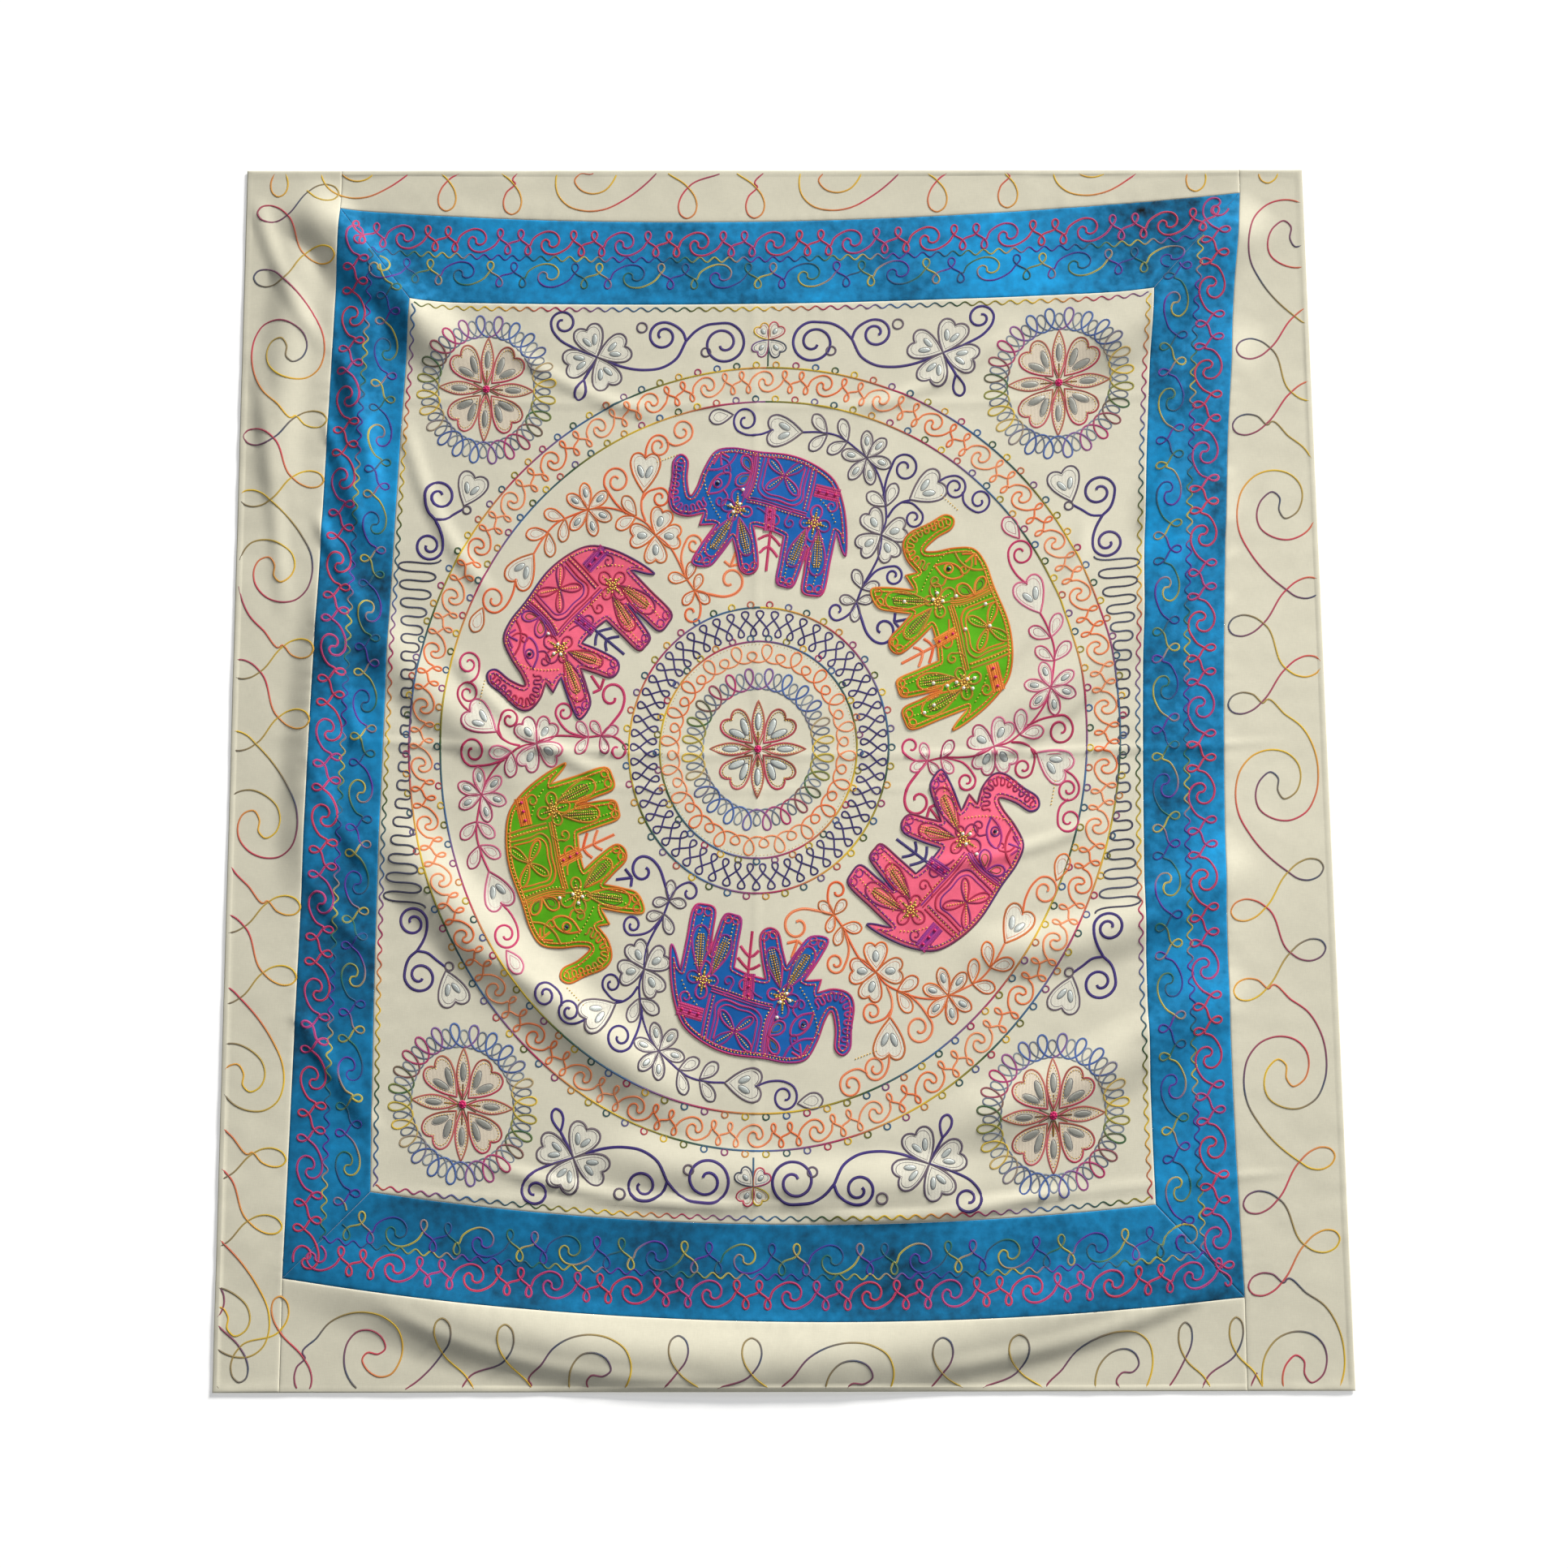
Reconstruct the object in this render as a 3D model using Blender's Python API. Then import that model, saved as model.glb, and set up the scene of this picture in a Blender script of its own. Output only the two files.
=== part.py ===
"""Embroidered bedspread, laid out on a flat surface with its soft swag folds.

The bedspread is pieced from nine panels of thin cotton: a white centre, a frame of four
blue strips with mitred corners, and a white border whose two side strips run the full
length. Six appliqued elephants are sewn round the middle of the centre panel.

Everything is drawn on the flat cloth first: u runs across and v along it, in metres, from
the middle of the pattern. lie() says where a point of the flat cloth comes to lie on the
surface, and fold_height() how high the cloth stands there. +Z is up and +Y is the top end.
"""

import math
from collections import namedtuple

import bmesh
import bpy
from mathutils import Vector

# The cloth, in metres.
CLOTH_THICKNESS = 0.0015
SEAM_GAP = 0.0003  # between the panels at a seam
CENTRE_HALF_WIDTH = 0.732
CENTRE_HALF_LENGTH = 0.886
SIDE_BAND = 0.160  # width of the blue strips at the sides
END_BAND = 0.185  # width of the blue strips at the ends
FRAME_HALF_WIDTH = CENTRE_HALF_WIDTH + SIDE_BAND
FRAME_HALF_LENGTH = CENTRE_HALF_LENGTH + END_BAND

# How far the two seams of each blue strip bow outward at their middle.
Bows = namedtuple("Bows", "inner outer")
LEFT_BOWS = Bows(0.010, -0.004)
RIGHT_BOWS = Bows(-0.016, -0.026)
TOP_BOWS = Bows(0.010, -0.005)
BOTTOM_BOWS = Bows(0.008, 0.000)

# The hemmed outer edge, as it lies: the corners of a slightly uneven rectangle.
Corner = namedtuple("Corner", "x y")
TOP_LEFT = Corner(-1.060, 1.185)
TOP_RIGHT = Corner(1.037, 1.187)
BOTTOM_RIGHT = Corner(1.060, -1.183)
BOTTOM_LEFT = Corner(-1.046, -1.187)

# How the flat cloth comes to lie: its middle, and how its lines lean, bow and sag.
MIDDLE = Corner(-0.033, 0.013)
LEAN = 0.012
SIDE_BOW = 0.024
SIDE_FLARE = 0.015
END_BOW = 0.007
SHEAR = 0.018
SWAG = 0.062
SWAG_TAPER = 0.014

# The main folds, as they lie: each one's crest runs through three points.
Fold = namedtuple("Fold", "name start middle end half_width height")
FOLDS = (
    Fold("lower left swag", (-0.80, -0.07), (-0.48, -0.43), (-0.12, -0.69), 0.085, 0.017),
    Fold("upper left swag", (-0.82, 0.31), (-0.66, 0.11), (-0.46, -0.02), 0.070, 0.010),
    Fold("bottom swag", (-1.00, -0.90), (-0.03, -1.130), (0.88, -0.89), 0.100, 0.018),
    Fold("inner bottom swag", (-0.40, -0.73), (0.00, -0.80), (0.44, -0.79), 0.070, 0.009),
    Fold("top left drag", (-0.97, 1.15), (-0.81, 0.97), (-0.60, 0.76), 0.080, 0.018),
    Fold("top right drag", (0.96, 1.12), (0.79, 0.95), (0.57, 0.76), 0.080, 0.018),
    Fold("right shoulder", (0.94, 0.88), (0.81, 0.66), (0.71, 0.42), 0.070, 0.013),
    Fold("right swag", (0.88, 0.60), (0.69, 0.28), (0.40, 0.03), 0.070, 0.014),
    Fold("lower right swag", (0.89, -0.16), (0.67, -0.32), (0.30, -0.38), 0.070, 0.013),
    Fold("right foot swag", (0.88, -0.40), (0.63, -0.58), (0.24, -0.73), 0.080, 0.013),
    Fold("left band, upper", (-0.80, 0.96), (-0.825, 0.70), (-0.82, 0.40), 0.060, 0.012),
    Fold("left band, lower", (-0.85, 0.40), (-0.89, 0.08), (-0.90, -0.30), 0.070, 0.014),
    Fold("left border", (-0.94, 1.06), (-0.975, 0.80), (-0.985, 0.44), 0.060, 0.010),
)
CREST_STOPS = 24  # points at which a crest is measured
END_FADE = 0.22  # share of a fold's length over which each end dies away
FOLD_BLEND = 3.0  # how softly crossing folds merge

# The cells of the panels' grids.
CELLS_ACROSS = 40
CELLS_ALONG = 48
BAND_CELLS = 3
BORDER_SIDE_CELLS = 3
BORDER_END_CELLS = 2

# The elephants. The pattern is a little taller than wide: its circles are drawn as ovals.
TALL = 1.117
PATCH_GAP = 0.0003
PATCH_THICKNESS = 0.0010
LINE_STEPS = 3  # straight runs between two points of an outline

# An elephant's outline, from the tip of its trunk over its back, and back along its legs.
# turn is "round" where the line runs smoothly through the point and "sharp" at a corner.
Stop = namedtuple("Stop", "x y turn")
BODY = (
    Stop(-0.163, 0.124, "round"),
    Stop(-0.149, 0.112, "round"),
    Stop(-0.150, 0.080, "round"),
    Stop(-0.143, 0.050, "round"),
    Stop(-0.130, 0.066, "round"),
    Stop(-0.116, 0.100, "round"),
    Stop(-0.095, 0.130, "round"),
    Stop(-0.060, 0.136, "round"),
    Stop(-0.015, 0.129, "round"),
    Stop(0.050, 0.122, "round"),
    Stop(0.100, 0.103, "round"),
    Stop(0.138, 0.074, "round"),
    Stop(0.156, 0.030, "round"),
    Stop(0.163, -0.020, "round"),
    Stop(0.162, -0.060, "round"),
    Stop(0.154, -0.052, "round"),
    Stop(0.143, -0.018, "sharp"),
    Stop(0.132, -0.070, "round"),
    Stop(0.120, -0.125, "round"),
    Stop(0.098, -0.131, "round"),
    Stop(0.078, -0.122, "round"),
    Stop(0.082, -0.085, "round"),
    Stop(0.087, -0.046, "sharp"),
    Stop(0.072, -0.090, "round"),
    Stop(0.060, -0.114, "round"),
    Stop(0.042, -0.114, "round"),
    Stop(0.028, -0.105, "round"),
    Stop(0.034, -0.065, "round"),
    Stop(0.041, -0.024, "sharp"),
    Stop(0.012, -0.012, "round"),
    Stop(-0.018, -0.005, "sharp"),
    Stop(-0.010, -0.045, "round"),
    Stop(-0.008, -0.080, "round"),
    Stop(-0.024, -0.092, "round"),
    Stop(-0.042, -0.084, "round"),
    Stop(-0.050, -0.055, "round"),
    Stop(-0.058, -0.027, "sharp"),
    Stop(-0.080, -0.055, "round"),
    Stop(-0.103, -0.077, "round"),
    Stop(-0.136, -0.072, "round"),
    Stop(-0.122, -0.042, "round"),
    Stop(-0.092, -0.002, "sharp"),
    Stop(-0.124, -0.004, "sharp"),
    Stop(-0.116, 0.018, "sharp"),
    Stop(-0.147, 0.012, "round"),
    Stop(-0.175, 0.020, "round"),
    Stop(-0.185, 0.042, "round"),
    Stop(-0.180, 0.080, "round"),
    Stop(-0.178, 0.112, "round"),
)

# Each elephant walks round the ring with its feet to the middle: turn counts from the top.
# It is placed by how far out it stands from the middle and how far forward it is moved.
Elephant = namedtuple("Elephant", "node cloth turn out forward")
ELEPHANTS = (
    Elephant("elephant_blue_top", "patch_blue", 0, 0.403, 0.008),
    Elephant("elephant_pink_left", "patch_pink", 60, 0.405, 0.000),
    Elephant("elephant_green_left", "patch_green", 120, 0.406, -0.004),
    Elephant("elephant_blue_bottom", "patch_blue", 180, 0.396, -0.009),
    Elephant("elephant_pink_right", "patch_pink", 240, 0.384, 0.001),
    Elephant("elephant_green_right", "patch_green", 300, 0.388, 0.006),
)

Cloth = namedtuple("Cloth", "colour roughness")
CLOTHS = {
    "white_cotton": Cloth((0.82, 0.79, 0.68, 1.0), 0.90),
    "blue_cotton": Cloth((0.02, 0.26, 0.55, 1.0), 0.85),
    "patch_blue": Cloth((0.02, 0.13, 0.50, 1.0), 0.85),
    "patch_pink": Cloth((0.86, 0.10, 0.24, 1.0), 0.85),
    "patch_green": Cloth((0.13, 0.45, 0.02, 1.0), 0.85),
}


def clear_scene():
    for thing in list(bpy.data.objects):
        bpy.data.objects.remove(thing)


def new_collection(name):
    collection = bpy.data.collections.new(name)
    bpy.context.scene.collection.children.link(collection)
    return collection


def cloth_material(name):
    """The plain dyed cotton of that name."""
    material = bpy.data.materials.get(name)
    if material is None:
        material = bpy.data.materials.new(name)
        material.use_nodes = True
        shader = material.node_tree.nodes["Principled BSDF"]
        shader.inputs["Base Color"].default_value = CLOTHS[name].colour
        shader.inputs["Roughness"].default_value = CLOTHS[name].roughness
        shader.inputs["Metallic"].default_value = 0.0
    return material


def mix(a, b, share):
    return a + (b - a) * share


# How the cloth lies.


def lie(u, v):
    """Where a point of the flat cloth comes to lie on the surface."""
    x = MIDDLE.x + u + LEAN * v + SIDE_BOW * u**2 + SIDE_FLARE * u**2 * v + END_BOW * v**2
    y = MIDDLE.y + v + SHEAR * u * v + SWAG * u**2 - SWAG_TAPER * u**2 * v
    return x, y


def crest_point(fold, share):
    """A point of the curve through a fold's start, middle and end."""
    before = 2 * (share - 0.5) * (share - 1)
    between = 4 * share * (1 - share)
    after = 2 * share * (share - 0.5)
    return [before * a + between * b + after * c for a, b, c in zip(fold.start, fold.middle, fold.end)]


CRESTS = {
    fold.name: [crest_point(fold, stop / CREST_STOPS) for stop in range(CREST_STOPS + 1)] for fold in FOLDS
}


def soft_step(share):
    share = min(max(share, 0.0), 1.0)
    return share * share * (3 - 2 * share)


def one_fold(fold, x, y):
    """How high one fold lifts the cloth at a point: a rounded ridge that dies away at both ends."""
    crest = CRESTS[fold.name]
    nearest, away = 0, math.inf
    for stop in range(CREST_STOPS):
        (ax, ay), (bx, by) = crest[stop], crest[stop + 1]
        run_x, run_y = bx - ax, by - ay
        share = ((x - ax) * run_x + (y - ay) * run_y) / (run_x**2 + run_y**2)
        share = min(max(share, 0.0), 1.0)
        distance = math.hypot(x - ax - share * run_x, y - ay - share * run_y)
        if distance < away:
            nearest, away = (stop + share) / CREST_STOPS, distance
    if away >= fold.half_width:
        return 0.0
    ridge = math.cos(0.5 * math.pi * away / fold.half_width) ** 2
    ends = soft_step(nearest / END_FADE) * soft_step((1 - nearest) / END_FADE)
    return fold.height * ridge * ends


def fold_height(x, y):
    """How high the underside of the cloth stands over the surface: 0 where it touches."""
    lifts = [one_fold(fold, x, y) for fold in FOLDS]
    return sum(lift**FOLD_BLEND for lift in lifts) ** (1 / FOLD_BLEND)


# The outer edge, as it lies.


def top_edge(x):
    return mix(TOP_LEFT.y, TOP_RIGHT.y, (x - TOP_LEFT.x) / (TOP_RIGHT.x - TOP_LEFT.x))


def bottom_edge(x):
    return mix(BOTTOM_LEFT.y, BOTTOM_RIGHT.y, (x - BOTTOM_LEFT.x) / (BOTTOM_RIGHT.x - BOTTOM_LEFT.x))


def outer_side(side, y):
    """x of the left edge for side -1 and of the right edge for side 1."""
    low, high = (BOTTOM_LEFT, TOP_LEFT) if side < 0 else (BOTTOM_RIGHT, TOP_RIGHT)
    return mix(low.x, high.x, (y - low.y) / (high.y - low.y))


# The panels. s runs across each one and t along it, both from -1 to 1.


def bowed(half, bow, share):
    """A seam's distance from the middle lines, at a share from -1 to 1 of its length."""
    return half + bow * (1 - share**2)


def centre_place(s, t):
    side_bows = RIGHT_BOWS if s > 0 else LEFT_BOWS
    end_bows = TOP_BOWS if t > 0 else BOTTOM_BOWS
    half_width = bowed(CENTRE_HALF_WIDTH, side_bows.inner, t)
    half_length = bowed(CENTRE_HALF_LENGTH, end_bows.inner, s)
    return lie(s * (half_width - SEAM_GAP / 2), t * (half_length - SEAM_GAP / 2))


def end_band_place(end):
    """The blue strip at the top for end 1 and at the bottom for end -1, with mitred ends."""

    bows = TOP_BOWS if end > 0 else BOTTOM_BOWS

    def place(s, t):
        out = (t + 1) / 2
        inner = bowed(CENTRE_HALF_LENGTH, bows.inner, s) + SEAM_GAP / 2
        outer = bowed(FRAME_HALF_LENGTH, bows.outer, s) - SEAM_GAP / 2
        half = mix(CENTRE_HALF_WIDTH, FRAME_HALF_WIDTH, out) - SEAM_GAP
        return lie(s * half, end * mix(inner, outer, out))

    return place


def side_band_place(side):
    """The blue strip at the left for side -1 and at the right for side 1, with mitred ends."""

    bows = RIGHT_BOWS if side > 0 else LEFT_BOWS

    def place(s, t):
        out = (s + 1) / 2
        inner = bowed(CENTRE_HALF_WIDTH, bows.inner, t) + SEAM_GAP / 2
        outer = bowed(FRAME_HALF_WIDTH, bows.outer, t) - SEAM_GAP / 2
        half = mix(CENTRE_HALF_LENGTH, FRAME_HALF_LENGTH, out) - SEAM_GAP
        return lie(side * mix(inner, outer, out), t * half)

    return place


def end_border_place(end):
    """The white strip between the blue frame and the top or bottom edge."""
    bows = TOP_BOWS if end > 0 else BOTTOM_BOWS

    def place(s, t):
        seam = bowed(FRAME_HALF_LENGTH, bows.outer, s) + SEAM_GAP / 2
        near_x, near_y = lie(s * FRAME_HALF_WIDTH, end * seam)
        near_x -= s * SEAM_GAP / 2
        far_y = top_edge(near_x) if end > 0 else bottom_edge(near_x)
        left, right = (lie(side * FRAME_HALF_WIDTH, end * FRAME_HALF_LENGTH)[0] for side in (-1, 1))
        far_x = mix(left + SEAM_GAP / 2, right - SEAM_GAP / 2, (s + 1) / 2)
        out = (t + 1) / 2
        return mix(near_x, far_x, out), mix(near_y, far_y, out)

    return place


def side_border_place(side):
    """The white strip at the side, which runs the full length past both ends of the blue frame."""
    bows = RIGHT_BOWS if side > 0 else LEFT_BOWS
    rows = CELLS_ALONG + 2 * BORDER_END_CELLS

    def seam(row):
        """The seam's point at a row: along the blue strip, and straight on past its corners."""
        inside = min(max(row - BORDER_END_CELLS, 0), CELLS_ALONG)
        share = mix(-1, 1, inside / CELLS_ALONG)
        x, y = lie(side * bowed(FRAME_HALF_WIDTH, bows.outer, share), share * FRAME_HALF_LENGTH)
        past = (row - BORDER_END_CELLS - inside) / BORDER_END_CELLS
        end = top_edge(x) if past > 0 else bottom_edge(x)
        return x + side * SEAM_GAP / 2, mix(y, end, abs(past))

    def place(s, t):
        row = round((t + 1) / 2 * rows)
        seam_x, seam_y = seam(row)
        edge_y = mix(BOTTOM_LEFT.y, TOP_LEFT.y, row / rows)
        if side > 0:
            edge_y = mix(BOTTOM_RIGHT.y, TOP_RIGHT.y, row / rows)
        out = (s + 1) / 2
        return mix(seam_x, outer_side(side, edge_y), out), mix(seam_y, edge_y, out)

    return place


def split_cells(bm):
    """Split each cell along the diagonal that a fold runs along: its ends differ least in height."""
    one_way, other_way = [], []
    for face in bm.faces:
        a, b, c, d = (vert.co.z for vert in face.verts)
        (one_way if abs(a - c) <= abs(b - d) else other_way).append(face)
    bmesh.ops.triangulate(bm, faces=one_way, quad_method="FIXED")
    bmesh.ops.triangulate(bm, faces=other_way, quad_method="ALTERNATE")


def sheet_mesh(name, place, across, along, lift, thickness):
    """A closed thin sheet over a grid of points, standing on the folds and raised by lift."""
    mesh = bpy.data.meshes.new(name)
    bm = bmesh.new()
    bmesh.ops.create_grid(bm, x_segments=across, y_segments=along, size=1.0)
    for vert in bm.verts:
        x, y = place(vert.co.x, vert.co.y)
        vert.co = Vector((x, y, fold_height(x, y)))
    split_cells(bm)
    bmesh.ops.translate(bm, verts=bm.verts[:], vec=(0, 0, lift))
    grown = bmesh.ops.extrude_face_region(bm, geom=bm.faces[:])["geom"]
    for vert in (part for part in grown if isinstance(part, bmesh.types.BMVert)):
        vert.co.z += thickness
    bmesh.ops.recalc_face_normals(bm, faces=bm.faces[:])
    bm.to_mesh(mesh)
    bm.free()
    return mesh


def add_panel(collection, name, cloth, place, across, along):
    mesh = sheet_mesh(name, place, across, along, 0.0, CLOTH_THICKNESS)
    mesh.materials.append(cloth_material(cloth))
    panel = bpy.data.objects.new(name, mesh)
    collection.objects.link(panel)
    return panel


def add_panels(collection):
    add_panel(collection, "centre_panel", "white_cotton", centre_place, CELLS_ACROSS, CELLS_ALONG)
    for end, word in ((1, "top"), (-1, "bottom")):
        band, border = f"blue_band_{word}", f"border_{word}"
        add_panel(collection, band, "blue_cotton", end_band_place(end), CELLS_ACROSS, BAND_CELLS)
        add_panel(collection, border, "white_cotton", end_border_place(end), CELLS_ACROSS, BORDER_END_CELLS)
    rows = CELLS_ALONG + 2 * BORDER_END_CELLS
    for side, word in ((-1, "left"), (1, "right")):
        band, border = f"blue_band_{word}", f"border_{word}"
        add_panel(collection, band, "blue_cotton", side_band_place(side), BAND_CELLS, CELLS_ALONG)
        add_panel(collection, border, "white_cotton", side_border_place(side), BORDER_SIDE_CELLS, rows)


# The elephants.


def smooth_outline(stops):
    """A closed line through the stops, rounded at the round ones."""
    line = []
    count = len(stops)
    points = [Vector((stop.x, stop.y)) for stop in stops]
    for here in range(count):
        ahead = (here + 1) % count
        a, b = points[here], points[ahead]
        leave = arrive = b - a
        if stops[here].turn == "round":
            leave = (b - points[here - 1]) / 2
        if stops[ahead].turn == "round":
            arrive = (points[(ahead + 1) % count] - a) / 2
        for step in range(LINE_STEPS):
            s = step / LINE_STEPS
            line.append(
                a * (2 * s**3 - 3 * s**2 + 1)
                + leave * (s**3 - 2 * s**2 + s)
                + b * (3 * s**2 - 2 * s**3)
                + arrive * (s**3 - s**2)
            )
    return line


def on_ring(point, elephant):
    """Where a point of an elephant lies, once the elephant is turned into its place on the ring."""
    angle = math.radians(elephant.turn)
    along, out = point.x - elephant.forward, point.y + elephant.out
    u = along * math.cos(angle) - out * math.sin(angle)
    v = along * math.sin(angle) + out * math.cos(angle)
    return lie(u, v * TALL)


def outline_prism(elephant, collection):
    """An upright prism over the elephant's outline, to cut its patch out of the cloth."""
    height = 0.1
    outline = smooth_outline(BODY)
    curve = bpy.data.curves.new(elephant.node + "_outline", "CURVE")
    curve.dimensions = "2D"
    curve.fill_mode = "BOTH"
    curve.extrude = height / 2
    spline = curve.splines.new("POLY")
    spline.points.add(len(outline) - 1)
    for point, place in zip(spline.points, outline):
        x, y = on_ring(place, elephant)
        point.co = (x, y, 0.0, 1.0)
    spline.use_cyclic_u = True
    drawn = bpy.data.objects.new(curve.name, curve)
    collection.objects.link(drawn)
    bpy.context.view_layer.update()
    mesh = bpy.data.meshes.new_from_object(drawn.evaluated_get(bpy.context.evaluated_depsgraph_get()))
    bpy.data.objects.remove(drawn)
    bm = bmesh.new()
    bm.from_mesh(mesh)
    bmesh.ops.remove_doubles(bm, verts=bm.verts[:], dist=1e-6)
    bmesh.ops.recalc_face_normals(bm, faces=bm.faces[:])
    bm.to_mesh(mesh)
    bm.free()
    prism = bpy.data.objects.new(curve.name, mesh)
    collection.objects.link(prism)
    prism.hide_render = True
    prism.display_type = "WIRE"
    return prism


def add_elephants(collection, cutters):
    """Each elephant is cut out of a thin sheet that lies on the centre panel, folds and all."""
    lift = CLOTH_THICKNESS + PATCH_GAP
    for elephant in ELEPHANTS:
        mesh = sheet_mesh(elephant.node, centre_place, CELLS_ACROSS, CELLS_ALONG, lift, PATCH_THICKNESS)
        mesh.materials.append(cloth_material(elephant.cloth))
        patch = bpy.data.objects.new(elephant.node, mesh)
        collection.objects.link(patch)
        cut = patch.modifiers.new("outline", "BOOLEAN")
        cut.operation = "INTERSECT"
        cut.solver = "EXACT"
        cut.object = outline_prism(elephant, cutters)


def main():
    clear_scene()
    bedspread = new_collection("embroidered_bedspread")
    cutters = new_collection("outlines")
    add_panels(bedspread)
    add_elephants(bedspread, cutters)


main()
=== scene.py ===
"""The looks of an embroidered bedspread: cotton panels, appliqued elephants and chain-stitched thread.

The file is laid out as an add-on. Each operator makes one piece, or one group of like pieces, around
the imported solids. Cloth and embroidery are drawn on the flat cloth first, u across and v along. lie()
and cloth_top() then say where a point of the flat cloth comes to lie, as they do for the solids.
Embroidery is drawn in millimetres, and everything else is in metres.
"""

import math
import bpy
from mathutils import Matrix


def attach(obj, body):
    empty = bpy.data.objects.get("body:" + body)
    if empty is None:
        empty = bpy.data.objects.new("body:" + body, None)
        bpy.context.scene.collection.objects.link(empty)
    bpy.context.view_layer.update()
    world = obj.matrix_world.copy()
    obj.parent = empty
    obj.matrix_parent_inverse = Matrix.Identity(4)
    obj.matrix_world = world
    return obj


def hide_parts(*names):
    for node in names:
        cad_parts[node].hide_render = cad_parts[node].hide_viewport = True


bl_info = {
    "name": "Embroidered Bedspread",
    "version": (1, 0, 0),
    "blender": (4, 5, 0),
    "location": "View3D > Sidebar > Bedspread",
    "description": "Dresses the solids of a pieced and embroidered cotton bedspread",
    "category": "Add Mesh",
}

from collections import namedtuple

import bmesh
import bpy
import numpy as np
from bpy.props import FloatProperty, FloatVectorProperty, PointerProperty
from mathutils import Vector
from mathutils.geometry import delaunay_2d_cdt

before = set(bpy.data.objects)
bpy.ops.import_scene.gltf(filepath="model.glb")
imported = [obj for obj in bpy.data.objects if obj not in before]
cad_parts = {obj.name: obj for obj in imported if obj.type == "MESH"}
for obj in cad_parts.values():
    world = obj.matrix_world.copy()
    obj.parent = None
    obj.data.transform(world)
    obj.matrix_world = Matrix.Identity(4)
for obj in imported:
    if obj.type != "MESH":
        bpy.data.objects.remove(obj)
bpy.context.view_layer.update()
BODY = "root"
MM = 0.001

# The cloth, in metres, as in the solids.
CLOTH_THICKNESS = 0.0015
SEAM_GAP = 0.0003
CENTRE_HALF_WIDTH = 0.732
CENTRE_HALF_LENGTH = 0.886
SIDE_BAND = 0.160
END_BAND = 0.185
FRAME_HALF_WIDTH = CENTRE_HALF_WIDTH + SIDE_BAND
FRAME_HALF_LENGTH = CENTRE_HALF_LENGTH + END_BAND

# How far the two seams of each blue strip bow outward at their middle.
Bows = namedtuple("Bows", "inner outer")
LEFT_BOWS = Bows(0.010, -0.004)
RIGHT_BOWS = Bows(-0.016, -0.026)
TOP_BOWS = Bows(0.010, -0.005)
BOTTOM_BOWS = Bows(0.008, 0.000)

# The hemmed outer edge, as it lies.
Corner = namedtuple("Corner", "x y")
TOP_LEFT = Corner(-1.060, 1.185)
TOP_RIGHT = Corner(1.037, 1.187)
BOTTOM_RIGHT = Corner(1.060, -1.183)
BOTTOM_LEFT = Corner(-1.046, -1.187)

# How the flat cloth comes to lie.
MIDDLE = Corner(-0.033, 0.013)
LEAN = 0.012
SIDE_BOW = 0.024
SIDE_FLARE = 0.015
END_BOW = 0.007
SHEAR = 0.018
SWAG = 0.062
SWAG_TAPER = 0.014

# The main folds, as in the solids, and the small creases that lie between them.
Fold = namedtuple("Fold", "name start middle end half_width height")
FOLDS = (
    Fold("lower left swag", (-0.80, -0.07), (-0.48, -0.43), (-0.12, -0.69), 0.085, 0.017),
    Fold("upper left swag", (-0.82, 0.31), (-0.66, 0.11), (-0.46, -0.02), 0.070, 0.010),
    Fold("bottom swag", (-1.00, -0.90), (-0.03, -1.130), (0.88, -0.89), 0.100, 0.018),
    Fold("inner bottom swag", (-0.40, -0.73), (0.00, -0.80), (0.44, -0.79), 0.070, 0.009),
    Fold("top left drag", (-0.97, 1.15), (-0.81, 0.97), (-0.60, 0.76), 0.080, 0.018),
    Fold("top right drag", (0.96, 1.12), (0.79, 0.95), (0.57, 0.76), 0.080, 0.018),
    Fold("right shoulder", (0.94, 0.88), (0.81, 0.66), (0.71, 0.42), 0.070, 0.013),
    Fold("right swag", (0.88, 0.60), (0.69, 0.28), (0.40, 0.03), 0.070, 0.014),
    Fold("lower right swag", (0.89, -0.16), (0.67, -0.32), (0.30, -0.38), 0.070, 0.013),
    Fold("right foot swag", (0.88, -0.40), (0.63, -0.58), (0.24, -0.73), 0.080, 0.013),
    Fold("left band, upper", (-0.80, 0.96), (-0.825, 0.70), (-0.82, 0.40), 0.060, 0.012),
    Fold("left band, lower", (-0.85, 0.40), (-0.89, 0.08), (-0.90, -0.30), 0.070, 0.014),
    Fold("left border", (-0.94, 1.06), (-0.975, 0.80), (-0.985, 0.44), 0.060, 0.010),
)
CREASES = (
    Fold("middle press line", (-1.03, 0.045), (0.00, 0.005), (1.02, 0.035), 0.011, 0.0016),
    Fold("second press line", (-0.60, -0.045), (0.00, -0.062), (0.60, -0.045), 0.010, 0.0010),
    Fold("upper press line", (-0.95, 0.725), (0.00, 0.700), (0.95, 0.735), 0.012, 0.0012),
    Fold("lower press line", (-0.98, -0.800), (0.05, -0.845), (1.00, -0.780), 0.012, 0.0014),
    Fold("upright press line", (-0.055, 1.15), (-0.045, 0.00), (-0.050, -1.15), 0.011, 0.0010),
)
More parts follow.
